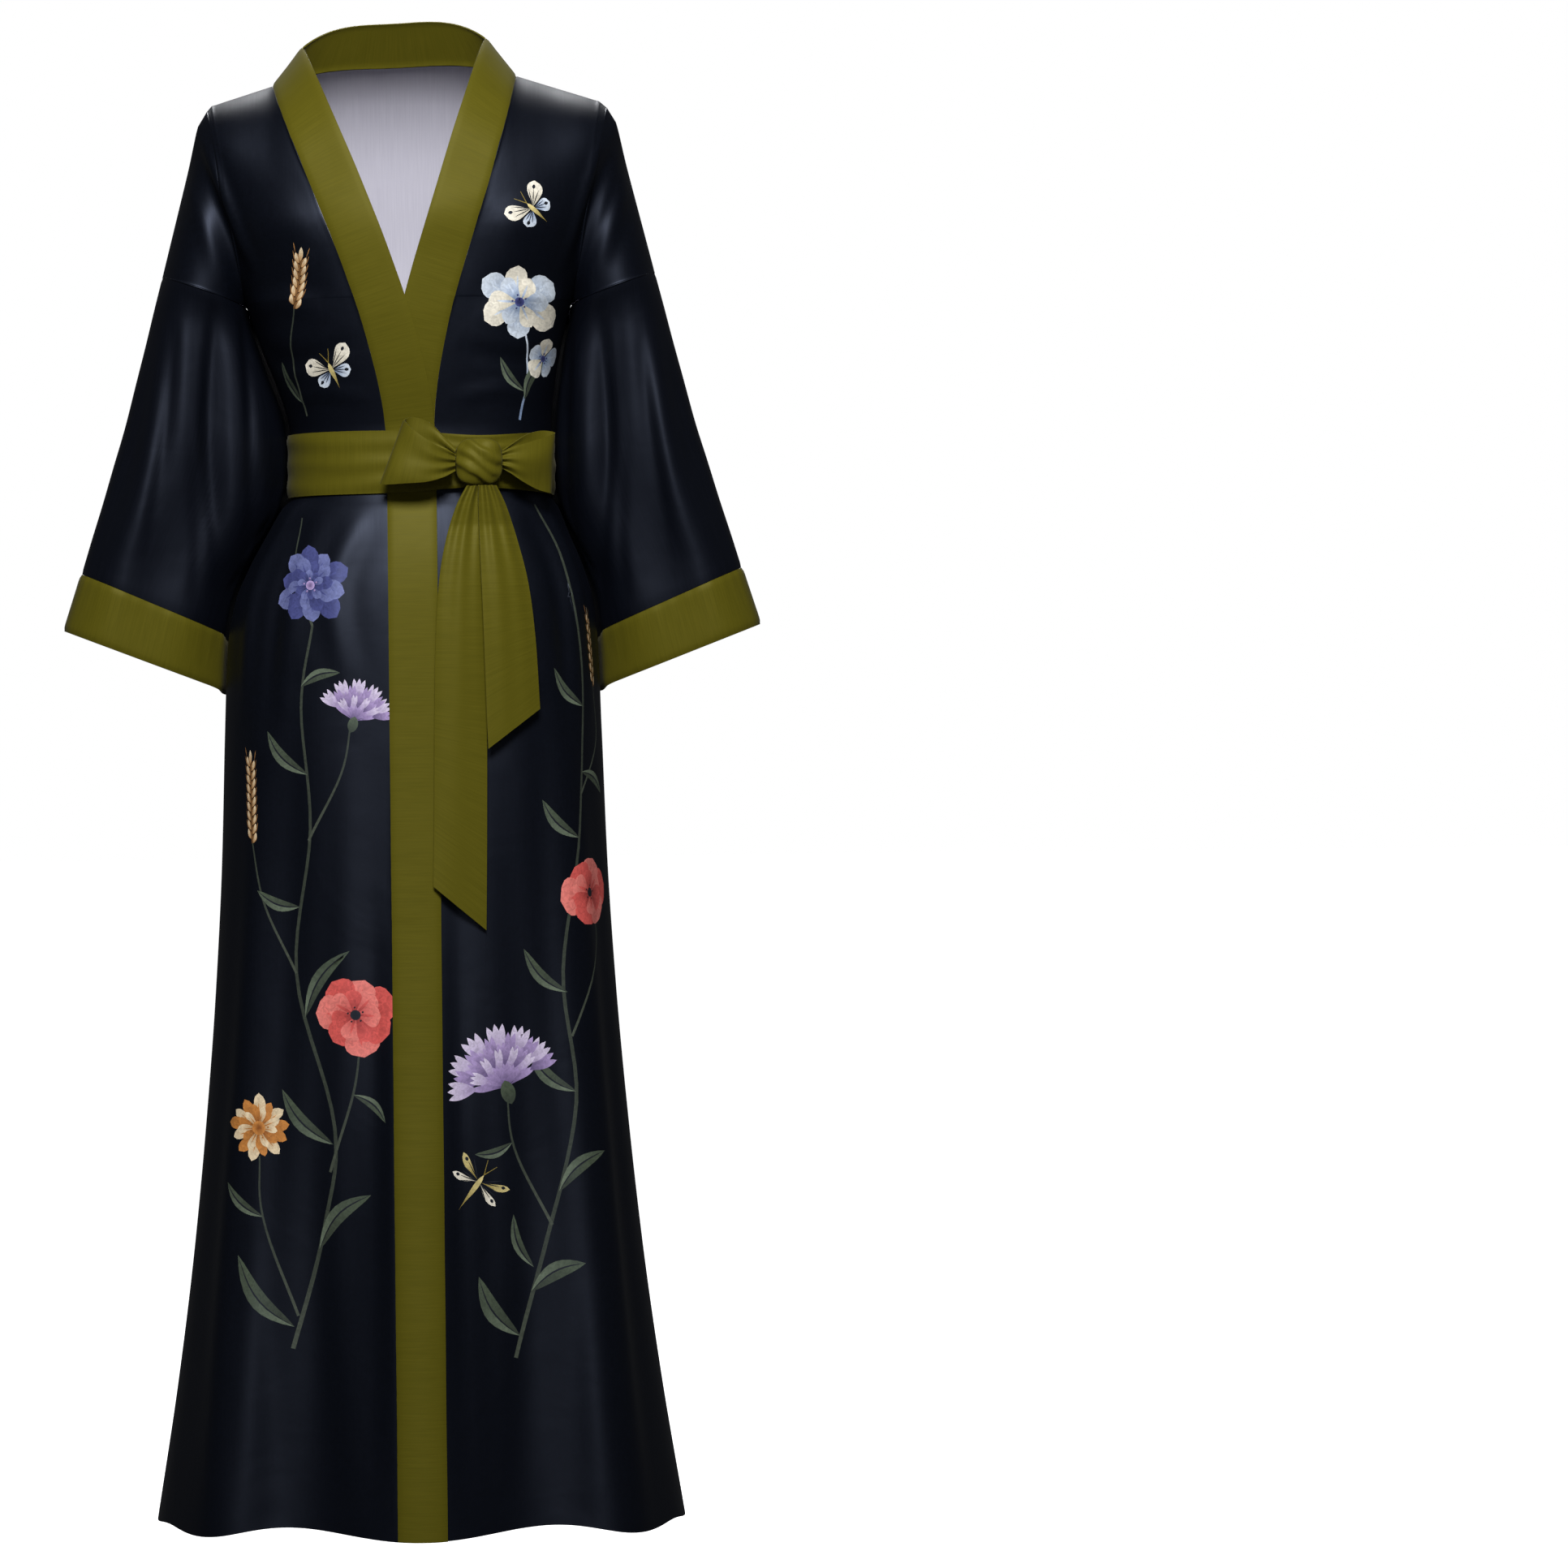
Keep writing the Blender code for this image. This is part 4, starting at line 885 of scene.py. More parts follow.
class Tone(Enum):
    """The print's colours, each as a pair of tones from a shape's focus outwards."""

    STEM = ("#4b5145", "#3c4238")
    LEAF = ("#3a4136", "#4f5a48")
    LEAF_PALE = ("#6b7764", "#4a5445")
    BACK_LEAF = ("#3b3a2d", "#55553f")
    BACK_LEAF_BROWN = ("#4a3d2a", "#6b5a3c")
    CORAL = ("#9c3a36", "#e0605a")
    CORAL_PALE = ("#c85650", "#ee857c")
    WHEAT = ("#b98d5a", "#f0dcb8")
    WHEAT_DARK = ("#6d4c2c", "#a97a48")
    AMBER = ("#8a4f1e", "#d08a45")
    LILAC = ("#6d5c86", "#b09acb")
    LILAC_PALE = ("#a895bf", "#d9cde6")
    SLATE = ("#26284c", "#4a4f86")
    SLATE_PALE = ("#3c4174", "#6f76a8")
    CREAM = ("#c9c2ae", "#f2ecdc")
    ICE = ("#7f93b4", "#d8e2ee")
    INK = ("#1a1c22", "#24262c")
    PINK = ("#6e1c30", "#c4536e")
    PINK_PALE = ("#a23a52", "#dd7f95")
    GOLD = ("#8c7a35", "#d9c98a")


CORALS = (Tone.CORAL, Tone.CORAL_PALE)
LILACS = (Tone.LILAC, Tone.LILAC_PALE)
SLATES = (Tone.SLATE, Tone.SLATE_PALE)
PINKS = (Tone.PINK, Tone.PINK_PALE)
ICES = (Tone.ICE, Tone.CREAM)


def heading(angle: float, flat: float = 1.0) -> Array:
    """A step of one at that angle, pressed flat by that share."""
    return np.array([math.cos(angle), math.sin(angle) * flat])


def beside(line: Array) -> Array:
    """At each point of a line, a step of one to its left."""
    run = np.gradient(line, axis=0)
    return np.stack([-run[:, 1], run[:, 0]], axis=1) / np.hypot(run[:, 0], run[:, 1])[:, None]


def blade(
    start: Array | Pair,
    end: Array | Pair,
    width: float,
    tone: Tone,
    bend: float = 0.0,
    belly: float = 0.5,
    blunt: float = 0.8,
    steps: int = 9,
) -> Patch:
    """One leaf, petal or grain.

    Args:
        start: where it grows from, in millimetres on the cloth.
        end: its tip.
        width: how wide it is at its belly.
        tone: its two tones, from start to end.
        bend: how far its middle bows sideways, as a share of its length.
        belly: how far along it is widest.
        blunt: below 1 it has rounder ends.
        steps: points along each edge.

    Returns:
        The patch.
    """
    a, b = np.array(start, float), np.array(end, float)
    run = b - a
    length = float(np.hypot(*run))
    side = np.array([-run[1], run[0]]) / length
    t = np.linspace(0, 1, steps + 1)
    half = width / 2 * np.sin(math.pi * t ** (math.log(0.5) / math.log(belly))) ** blunt
    spine = a + t[:, None] * run + (bend * length * np.sin(math.pi * t))[:, None] * side
    left, right = spine + half[:, None] * side, spine - half[:, None] * side
    return Patch(np.concatenate([left, right[-2:0:-1]]), *tone.value, tuple(a), length)


def stem(points: Line, width: float, tone: Tone = Tone.STEM) -> Patch:
    """A stalk through points that thins towards its end."""
    line = bent_line(np.array(points, float), 7)
    side = beside(line)
    half = (width / 2 * np.linspace(1.0, 0.55, len(line)))[:, None]
    outline = np.concatenate([line + half * side, (line - half * side)[::-1]])
    return Patch(outline, *tone.value, tuple(line[0]), 90.0)


def leaf(start: tuple, end: tuple, width: float, tone: Tone = Tone.LEAF, bend: float = 0.12) -> list[Patch]:
    """A leaf with one half paler and a rib."""
    whole = blade(start, end, width, tone, bend)
    rim, steps = whole.outline, len(whole.outline) // 2
    middle = np.concatenate([rim[:1], (rim[1:steps] + rim[:steps:-1]) / 2, rim[steps : steps + 1]])
    pale = Tone.LEAF_PALE if tone is Tone.LEAF else Tone.BACK_LEAF_BROWN
    half = Patch(np.concatenate([rim[: steps + 1], middle[-2:0:-1]]), *pale.value, start, 55.0)
    rib = blade(middle[0], middle[-1], 1.6, Tone.INK, bend)
    return [whole, half, rib]


@dataclass(frozen=True)
class Bloom:
    """A flower seen from the front: rings of petals round an eye."""

    middle: Pair
    radius: float
    petals: int
    tones: tuple[Tone, Tone]
    eye: Tone = Tone.GOLD
    fullness: float = 1.25
    rings: int = 2
    turn: float = 0.0
    eye_share: float = 0.16
    flat: float = 1.0

    def patches(self) -> list[Patch]:
        """The flower's shapes from the back to the front."""
        made: list[Patch] = []
        middle = np.array(self.middle)
        for ring in range(self.rings):
            reach = self.radius * (1 - 0.30 * ring)
            for k in range(self.petals):
                angle = self.turn + 2 * math.pi * (k + 0.5 * ring) / self.petals
                uneven = 1 + 0.10 * math.sin(k * 2.3 + ring + self.turn * 5)
                way = heading(angle, self.flat)
                width = self.fullness * 2 * math.pi * reach / self.petals * 0.62 * uneven
                tone = self.tones[(k + ring) % 2]
                start, end = middle + way * reach * 0.06, middle + way * reach * uneven
                made.append(blade(start, end, width, tone, 0.05 * math.sin(k * 1.7), 0.66, 0.62))
                made.append(blade(start, start + (end - start) * 0.72, width * 0.12, self.tones[0]))
        rim = self.radius * self.eye_share
        around = np.linspace(0, 2 * math.pi, 15)[:-1]
        disc = middle + np.stack([np.cos(around), np.sin(around) * self.flat], axis=1) * rim
        made.append(Patch(disc, *self.eye.value, self.middle, rim))
        for k in range(5):
            dot = middle + heading(self.turn + 2 * math.pi * k / 5, self.flat) * rim * 1.45
            made.append(blade(dot - 0.8, dot + 0.8, 1.8, self.eye, steps=4))
        return made


@dataclass(frozen=True)
class Thistle:
    """A fringed flower seen from the side: florets with split tips over a scaled cup."""

    cup: Pair
    way: float
    length: float
    tones: tuple[Tone, Tone]
    florets: int = 11
    spread: float = 2.2

    def patches(self) -> list[Patch]:
        """The flower's shapes from the back to the front."""
        made: list[Patch] = []
        cup = np.array(self.cup)
        for layer in range(2):
            for k in range(self.florets - 3 * layer):
                share = k / (self.florets - 3 * layer - 1) - 0.5
                angle = self.way + share * self.spread * (1 - 0.25 * layer)
                reach = self.length * (1 - 0.28 * layer) * (1 + 0.09 * math.sin(k * 2.9))
                way = heading(angle)
                neck = cup + way * reach * 0.55
                made.append(blade(cup, neck + way * 3, reach * 0.11, self.tones[0], belly=0.7))
                tone = self.tones[(k + layer) % 2]
                for tip in (-0.30, 0.0, 0.30):
                    split = neck + heading(angle + tip) * reach * 0.45
                    made.append(blade(neck - way * 3, split, reach * 0.13, tone, belly=0.55))
        back = heading(self.way)
        low, high = cup - back * self.length * 0.30, cup + back * self.length * 0.12
        made.append(blade(low, high, self.length * 0.26, Tone.LEAF, blunt=0.6))
        return made


def ear(start: Pair, end: Pair, grains: int = 9) -> list[Patch]:
    """An ear of corn: paired grains up a stalk, each with a fine beard."""
    a, b = np.array(start, float), np.array(end, float)
    run = (b - a) / grains
    unit = run / np.hypot(*run)
    side = np.array([-unit[1], unit[0]])
    made = [stem((start, end), 1.6, Tone.WHEAT_DARK)]
    for k in range(grains):
        for way in (-1, 1):
            root = a + run * (k + (0.5 if way > 0 else 0.0))
            tip = root + unit * 9.5 + side * way * 5.0
            made.append(blade(tip - unit, tip + unit * 9 + side * way * 2.5, 0.9, Tone.WHEAT_DARK))
            made.append(blade(root, tip, 5.2, Tone.WHEAT_DARK, 0.06 * way, 0.45, 0.7))
            made.append(blade(root + side * way * 1.2, tip, 3.2, Tone.WHEAT, 0.06 * way, 0.5, 0.7))
    made.append(blade(b - unit * 2, b + unit * 11, 4.0, Tone.WHEAT))
    return made


@dataclass(frozen=True)
class Moth:
    """A small moth or dragonfly, seen from above."""

    middle: Pair
    way: float
    span: float
    wings: tuple[tuple[float, float, float, Tone], ...]
    body: float = 0.42
    marks: Tone = Tone.INK

    def patches(self) -> list[Patch]:
        """Its wings, their markings and its body."""
        made: list[Patch] = []
        middle = np.array(self.middle)
        ahead = heading(self.way)
        for angle, length, width, tone in self.wings:
            for side in (-1, 1):
                turned = self.way + side * angle
                way = heading(turned)
                reach = self.span * length
                root, tip = middle + way * 1.5, middle + way * reach
                made.append(blade(root, tip, self.span * width, tone, 0.05 * side, 0.68, 0.6))
                for vein in (-0.28, 0.0, 0.28):
                    made.append(blade(root, root + heading(turned + vein) * reach * 0.66, 0.9, self.marks))
                spot = middle + way * reach * 0.78
                made.append(blade(spot - way * 2.2, spot + way * 2.2, 3.0, self.marks, steps=5))
        tail, head = middle - ahead * self.span * self.body, middle + ahead * self.span * 0.16
        made.append(blade(tail, head, self.span * 0.10, Tone.GOLD, belly=0.7))
        for side in (-1, 1):
            feeler = head + heading(self.way + 0.4 * side) * self.span * 0.28
            made.append(stem((head, feeler), 0.8, Tone.GOLD))
        return made


MOTH_WINGS = ((0.95, 0.62, 0.34, Tone.CREAM), (2.0, 0.42, 0.28, Tone.ICE))
DRAGON_WINGS = ((1.15, 0.62, 0.13, Tone.GOLD), (1.85, 0.55, 0.13, Tone.CREAM))


def ribbon(points: Line, width: float, tone: Tone) -> list[Patch]:
    """A printed ribbon through points, with a darker edge where it turns."""
    line = bent_line(np.array(points, float), 6)
    side = beside(line)
    half = (width / 2 * (0.72 + 0.28 * np.cos(np.linspace(0, 9, len(line)))))[:, None]
    outline = np.concatenate([line + half * side, (line - half * side)[::-1]])
    shade = np.concatenate([line + half * side, (line + half * 0.45 * side)[::-1]])
    return [
        Patch(outline, tone.value[1], tone.value[1], tuple(line[0]), 60.0),
        Patch(shade, tone.value[0], tone.value[1], tuple(line[len(line) // 2]), 45.0),
    ]


def right_design() -> tuple[Patch, ...]:
    """The right front: a tall spray with a slate, a coral and an amber bloom, a thistle and an ear."""
    made = [
        stem(((-126, -1160), (-92, -1050), (-78, -960), (-112, -820), (-96, -690), (-104, -580),
              (-92, -505)), 4.2),
        stem(((-84, -1000), (-60, -930), (-52, -880)), 2.8),
        stem(((-112, -820), (-142, -760), (-156, -700)), 2.6),
        stem(((-98, -700), (-66, -640), (-56, -590)), 2.6),
        stem(((-120, -1130), (-150, -1040), (-152, -985)), 2.8),
        stem(((-92, -505), (-112, -450), (-108, -405)), 2.4),
    ]
    for start, end, width in (
        ((-124, -1140), (-176, -1075), 17), ((-98, -1070), (-46, -1020), 15), ((-80, -975), (-128, -925), 14),
        ((-104, -860), (-60, -800), 13), ((-108, -760), (-150, -745), 11), ((-98, -640), (-140, -600), 12),
        ((-60, -930), (-30, -955), 9), ((-150, -1040), (-186, -1010), 10), ((-104, -560), (-66, -548), 10),
    ):
        made += leaf(start, end, width)
    made += ear((-156, -702), (-160, -628))
    made += Thistle((-54, -592), 1.3, 36, LILACS, 10, 2.2).patches()
    made += Bloom((-94, -468), 36, 10, SLATES, Tone.LILAC, 1.35, 3, 0.4, 0.12).patches()
    made += Bloom((-56, -858), 36, 7, CORALS, Tone.INK, 1.5, 2, 0.4, 0.13).patches()
    made += Bloom((-152, -960), 29, 13, (Tone.AMBER, Tone.WHEAT), Tone.AMBER, 1.2, 2, 0.1, 0.22).patches()
    made += [stem(((-104, -312), (-112, -262), (-104, -214)), 2.2)] + ear((-104, -216), (-98, -172), 6)
    made += leaf((-106, -300), (-126, -262), 9) + Moth((-72, -272), 2.0, 44, MOTH_WINGS).patches()
    return tuple(made)


def left_design() -> tuple[Patch, ...]:
    """The left front: a leaning spray with a lilac thistle, a coral bloom and a dragonfly."""
    made = [
        stem(((96, -1170), (124, -1060), (150, -940), (138, -820), (160, -690), (170, -560), (150, -450),
              (120, -395)), 4.0),
        stem(((128, -1050), (92, -980), (84, -925)), 2.8),
        stem(((146, -880), (182, -800), (180, -770)), 2.4),
        stem(((164, -660), (196, -610), (190, -560)), 2.4),
    ]
    for start, end, width in (
        ((100, -1150), (58, -1095), 17), ((110, -1110), (160, -1085), 16), ((134, -1020), (180, -985), 14),
        ((150, -930), (104, -890), 13), ((142, -840), (100, -800), 12), ((158, -700), (120, -665), 12),
        ((170, -580), (134, -545), 11), ((90, -975), (54, -985), 9), ((166, -640), (206, -660), 10),
        ((112, -1088), (92, -1040), 10),
    ):
        made += leaf(start, end, width)
    made += Thistle((84, -925), 1.9, 54, LILACS, 12, 2.6).patches()
    made += Bloom((172, -750), 33, 6, CORALS, Tone.INK, 1.5, 2, 0.2, 0.13).patches()
    made += ear((190, -562), (182, -500), 7)
    made += Moth((58, -1010), 0.9, 50, DRAGON_WINGS, 0.62).patches()
    made += [stem(((104, -318), (112, -270), (102, -222)), 2.6, Tone.ICE)]
    made += leaf((108, -300), (134, -262), 11) + leaf((108, -292), (84, -262), 9)
    made += Bloom((100, -212), 36, 6, ICES, Tone.SLATE, 1.0, 2, 0.5, 0.12).patches()
    made += Bloom((130, -262), 19, 5, ICES, Tone.SLATE, 1.1, 1, 0.2, 0.16).patches()
    made += Moth((112, -128), 2.4, 42, MOTH_WINGS).patches()
    return tuple(made)


def back_design() -> tuple[Patch, ...]:
    """The back: a wide spray of pink blossom and brown leaves, tied with a plain coral bow."""
    brown = Tone.BACK_LEAF_BROWN
    made = [
        stem(((6, -515), (-6, -400), (4, -300), (-8, -200), (-34, -110)), 6.0, brown),
        stem(((18, -515), (10, -410), (34, -300), (62, -190), (84, -110)), 5.0, brown),
        stem(((-8, -512), (-16, -400), (-50, -300), (-88, -215)), 4.6, brown),
        stem(((2, -300), (26, -220), (22, -140)), 3.4, brown),
        stem(((40, -280), (84, -250), (112, -205)), 3.2, brown),
        stem(((-50, -300), (-92, -300), (-118, -270)), 3.0, brown),
    ]
    for k, (start, end, width) in enumerate((
        ((-4, -380), (-62, -372), 26), ((4, -372), (58, -392), 27), ((0, -330), (-44, -296), 24),
        ((14, -340), (70, -330), 26), ((30, -300), (96, -306), 25), ((-40, -318), (-100, -338), 25),
        ((2, -290), (-30, -236), 22), ((6, -262), (48, -244), 21), ((-8, -215), (-52, -196), 21),
        ((-10, -195), (18, -150), 19), ((58, -205), (28, -178), 18), ((64, -190), (112, -180), 20),
        ((-70, -252), (-112, -232), 20), ((-78, -235), (-58, -190), 17), ((-24, -140), (-62, -128), 17),
        ((10, -420), (52, -440), 22), ((-8, -415), (-54, -430), 22), ((88, -248), (126, -262), 17),
    )):
        made += leaf(start, end, width * 1.3, Tone.BACK_LEAF if k % 3 else brown, 0.10 if k % 2 else -0.10)
    for middle, radius, turn in (
        ((-38, -92), 25, 0.3), ((-8, -112), 19, 1.1), ((86, -92), 26, 0.0), ((112, -128), 20, 0.8),
        ((-92, -196), 24, 0.5), ((-122, -256), 20, 1.4), ((22, -122), 17, 0.2), ((118, -196), 22, 0.6),
        ((62, -74), 16, 0.9), ((-66, -118), 16, 0.1),
    ):
        made += Bloom(middle, radius, 5, PINKS, Tone.PINK, 1.25, 1 + (radius > 22), turn, 0.15).patches()
    for start, end in (((-60, -70), (-64, -50)), ((104, -62), (112, -44)), ((138, -160), (146, -142))):
        made.append(blade(start, end, 9, Tone.PINK, 0.1, 0.6))
    made += ribbon(((2, -452), (-34, -424), (-62, -446), (-40, -476), (2, -458)), 17, Tone.CORAL)
    made += ribbon(((2, -452), (40, -426), (66, -452), (42, -478), (2, -458)), 17, Tone.CORAL)
    made += ribbon(((2, -456), (-22, -500), (-58, -520), (-70, -560)), 16, Tone.CORAL_PALE)
    made += ribbon(((4, -456), (30, -505), (26, -545), (58, -585)), 16, Tone.CORAL_PALE)
    made.append(blade((-12, -455), (16, -455), 22, Tone.CORAL, blunt=0.5))
    return tuple(made)


BACK_PRINT = back_design()
RIGHT_PRINT = right_design()
LEFT_PRINT = left_design()


RIGHT_CREASES = creases(
    (((-196, -60), (-173, -122), (-149, -184)), 5, -3.4),
    (((-184, -62), (-166, -112), (-142, -172)), 5, 2.4),
    (((-205, -84), (-186, -140), (-168, -196)), 8, 2.6),
    (((-146, -152), (-112, -138), (-80, -152)), 20, 4.6, 0.0),
    (((-142, -206), (-106, -196), (-72, -214)), 18, -2.6, 0.0),
    (((-78, -215), (-118, -208), (-145, -216)), 11, 3),
    (((-50, -250), (-98, -262), (-138, -258)), 8, -2.4),
    (((-34, -300), (-84, -292), (-118, -300)), 6, 1.9),
    (((-44, -400), (-72, -470), (-60, -560)), 12, 3),
    (((-100, -398), (-128, -480), (-140, -600)), 11, -3.5),
    (((-122, -396), (-160, -470), (-172, -580)), 9, 2.7),
    (((-60, -600), (-66, -820), (-80, -1050), (-72, -1310)), 19, 4.6),
    (((-110, -560), (-120, -820), (-146, -1080), (-150, -1310)), 17, -4.3),
    (((-150, -620), (-166, -860), (-196, -1100), (-214, -1310)), 16, 4.3),
    (((-40, -760), (-38, -980), (-44, -1310)), 11, -2.4),
)
LEFT_CREASES = creases(
    (((192, -60), (171, -118), (150, -182)), 5, -3.2),
    (((179, -60), (162, -110), (143, -170)), 5, 2.3),
    (((204, -80), (188, -136), (166, -194)), 8, 2.7),
    (((144, -150), (110, -137), (78, -151)), 20, 4.4, 0.0),
    (((140, -204), (104, -194), (66, -210)), 18, -2.6, 0.0),
    (((72, -222), (112, -206), (145, -214)), 11, 3.1),
    (((52, -256), (100, -264), (138, -256)), 8, -2.4),
    (((40, -298), (88, -290), (126, -300)), 6, 1.9),
    (((106, -398), (140, -470), (150, -600)), 11, -3.5),
    (((140, -396), (170, -470), (186, -580)), 9, 2.7),
    (((62, -640), (72, -860), (84, -1060), (78, -1310)), 19, 4.3),
    (((116, -580), (124, -840), (148, -1090), (154, -1310)), 17, -4.3),
    (((158, -640), (176, -880), (200, -1110), (220, -1310)), 16, 4.3),
    (((38, -700), (40, -960), (42, -1310)), 10, -2.2),
)
BACK_CREASES = creases(
    (((-150, -60), (-172, -120), (-158, -200)), 7, -3),
    (((150, -64), (172, -126), (158, -202)), 7, -3.1),
    (((-182, -72), (-198, -112), (-186, -172)), 6, 2.7),
    (((182, -70), (198, -110), (186, -170)), 6, 2.6),
    (((-40, -250), (0, -268), (46, -246)), 9, 1.6),
    (((-110, -236), (-70, -262), (-30, -300)), 8, -2),
    (((112, -240), (72, -266), (34, -302)), 8, -2),
    (((-70, -392), (-92, -470), (-86, -600)), 12, 3.2),
    (((72, -394), (96, -476), (90, -610)), 12, 3.2),
    (((-20, -400), (-26, -470), (-14, -560)), 9, -2.2),
    (((128, -396), (158, -470), (176, -590)), 9, 2.7),
    (((-126, -396), (-156, -468), (-172, -590)), 9, 2.7),
    (((-52, -620), (-58, -860), (-70, -1080), (-64, -1310)), 19, 4.6),
    (((6, -600), (2, -840), (10, -1080), (4, -1310)), 17, -4.3),
    (((60, -620), (66, -860), (76, -1090), (70, -1310)), 19, 4.3),
    (((118, -580), (126, -850), (148, -1090), (150, -1310)), 17, -4.1),
    (((-118, -580), (-128, -850), (-150, -1090), (-152, -1310)), 17, -4.1),
    (((166, -640), (182, -880), (206, -1110), (222, -1310)), 16, 4.1),
    (((-166, -640), (-182, -880), (-206, -1110), (-222, -1310)), 16, 4.1),
)
SLEEVE_CREASES = creases(
    (((177, -196), (186, -330), (176, -470)), 6, -3.6),
    (((203, -215), (206, -330), (214, -440)), 12, 2.8),
    (((163, -205), (165, -345), (156, -490)), 9, 2.8),
    (((153, -200), (148, -285), (146, -410)), 5, -2.6),
    (((226, -232), (240, -340), (264, -445)), 10, 2.0),
    (((214, -214), (224, -320), (242, -436)), 7, -2.2),
    (((138, -320), (134, -400), (152, -500)), 9, 2.0),
    (((196, -350), (195, -420), (200, -480)), 6, -1.8),
)


@dataclass
class Panels:
    """The back and the two fronts, each with the shoulder and sleeve-top cloth that is cut in one with it."""

    form: RobeForm
    wall: float = 1.2 * MM
    arm_columns: int = 26
    torso_columns: int = 64
    yoke_rows: int = 46
    row_step: float = 6.2 * MM
    seam_roll: float = 0.1 * MM
    sash_middle: float = -0.356

    def yoke_shares(self) -> Array:
        """How far down its column each row of the yoke is, closest at the ridge and the underarm."""
        return (1 - np.cos(math.pi * np.linspace(0, 1, self.yoke_rows + 1) ** 1.2)) / 2

    def lower_heights(self) -> Array:
        """Heights of the rows from the underarm to the hem."""
        low, hem = self.form.underarm[1], self.form.hem_z
        count = int(round((low - hem) / self.row_step))
        rows = np.linspace(low, hem, count + 1)
        return np.concatenate([rows[:-1], [hem + 3 * MM, hem]])

    def places(self) -> Array:
        """Columns from the sleeve seam at -1 over the shoulder tip at 0 to the neckline at 1."""
        arm = np.linspace(-1, 0, self.arm_columns + 1)[:-1]
        torso = np.linspace(0, 1, self.torso_columns + 1)
        return np.concatenate([arm, [0.0, 0.005], torso[1:-1], [0.995, 1.0]])

    def half(self, side: int, face: int) -> tuple[list[Array], list[Array]]:
        """One half of a panel as columns of points.

        Args:
            side: the sign of x.
            face: -1 for a front and 1 for the back.

        Returns:
            The yoke's columns from the sleeve seam inwards, and the lower columns from the side seam.
        """
        form, rows, heights = self.form, self.yoke_shares(), self.lower_heights()
        neckline = face < 0
        yoke, lower = [], []
        for place in self.places():
            xz = form.yoke_column(place, side, neckline, rows)
            deep = form.depth(xz[:, 0], xz[:, 1], face)
            deep[0] = 0.0
            y = face * np.maximum(deep, form.seam_gap / 2)
            if face < 0:
                y = y + form.under_layer(xz[:, 0], xz[:, 1], side)
            column = np.stack([xz[:, 0], y, xz[:, 1]], axis=1)
            yoke.append(column if face < 0 or place <= 0 else self.to_back_neck(column, side, place))
            if place < 0:
                continue
            x = form.ring_place(side, place, heights, neckline)
            y = face * np.maximum(form.depth(x, heights, face), form.seam_gap / 2)
            if place == 0.0:
                near = (heights - form.underarm[1]) ** 2 / form.underarm_ease[1] ** 2
                y = face * np.maximum(form.underarm_ease[0] * np.exp(-near), form.seam_gap / 2)
            if face < 0:
                y = y + form.under_layer(x, heights, side)
            lower.append(np.stack([x, y, form.hem_height(x, heights)], axis=1))
        return yoke, lower

    def to_back_neck(self, column: Array, side: int, place: float) -> Array:
        """The back's yoke column, started on the shoulder seam or on the back neck seam."""
        form, share = self.form, self.form.back_shoulder_share
        neck_x = form.neck_middle + side * form.neck_half
        if place <= share + 1e-9:
            x = side * form.tip[0] + (neck_x - side * form.tip[0]) * place / share
            blunt = form.tip_chamfer * max(0.0, 1 - place / form.tip_reach)
            level = float(form.shoulder_line(x)) - form.tip_blunt[1] * blunt
            top = np.array([x - form.tip_blunt[0] * side * blunt, 0.0, level])
        else:
            turn = (place - share) / (1 - share) * math.pi / 2
            top = form.back_neck_point(turn if side > 0 else math.pi - turn)
        t = self.yoke_shares()
        z = top[2] + (column[-1][2] - top[2]) * t
        x = top[0] + (column[-1][0] - top[0]) * t ** (1 + 0.2 * smooth_step(place, 0.0, 0.12))
        y = form.depth(x, z, 1)
        y[0] = top[1]
        return np.stack([x, np.maximum(y, form.seam_gap / 2), z], axis=1)

    def cloth(self, *halves: tuple[list[Array], list[Array]]) -> Cloth:
        """Joins halves into one cloth with its flat places.

        Args:
            halves: each half's yoke and lower columns; a second half is joined at the middle.

        Returns:
            The cloth, its points where columns meet made one.
        """
        yoke, lower = halves[0]
        flats = [self.flat_lower(lower)]
        if len(halves) == 2:
            yoke = yoke + halves[1][0][-2::-1]
            flats.append(self.flat_lower(halves[1][1])[-2::-1])
            lower = lower + halves[1][1][-2::-1]
        flat_low = np.concatenate(flats)
        top = np.concatenate(yoke)
        points = np.concatenate([top] + lower)
        flat = np.concatenate([top[:, [0, 2]], flat_low.reshape(-1, 2)])
        quads = grid_quads(len(yoke), len(yoke[0]))
        quads += grid_quads(len(lower), len(lower[0]), len(top))
        made = Cloth(points, flat, quads).merged()
        return made.turned_out(np.array([0.0, 0.0, -0.6]))

    def flat_lower(self, lower: list[Array]) -> Array:
        """Unrolled places of the lower columns: along the cloth across, and by height down."""
        grid = np.array(lower)
        heights = self.lower_heights()
        weight = smooth_step(-heights, 0.208, 0.330)
        steps = np.diff(grid, axis=0)
        length = np.sqrt(steps[:, :, 0] ** 2 + weight * steps[:, :, 1] ** 2)
        outwards = np.sign(grid[0, 0, 0])
        u = np.empty(grid.shape[:2])
        u[-1] = grid[-1, :, 0]
        u[:-1] = u[-1] + outwards * np.cumsum(length[::-1], axis=0)[::-1]
        return np.stack([u, np.broadcast_to(heights, u.shape)], axis=-1)

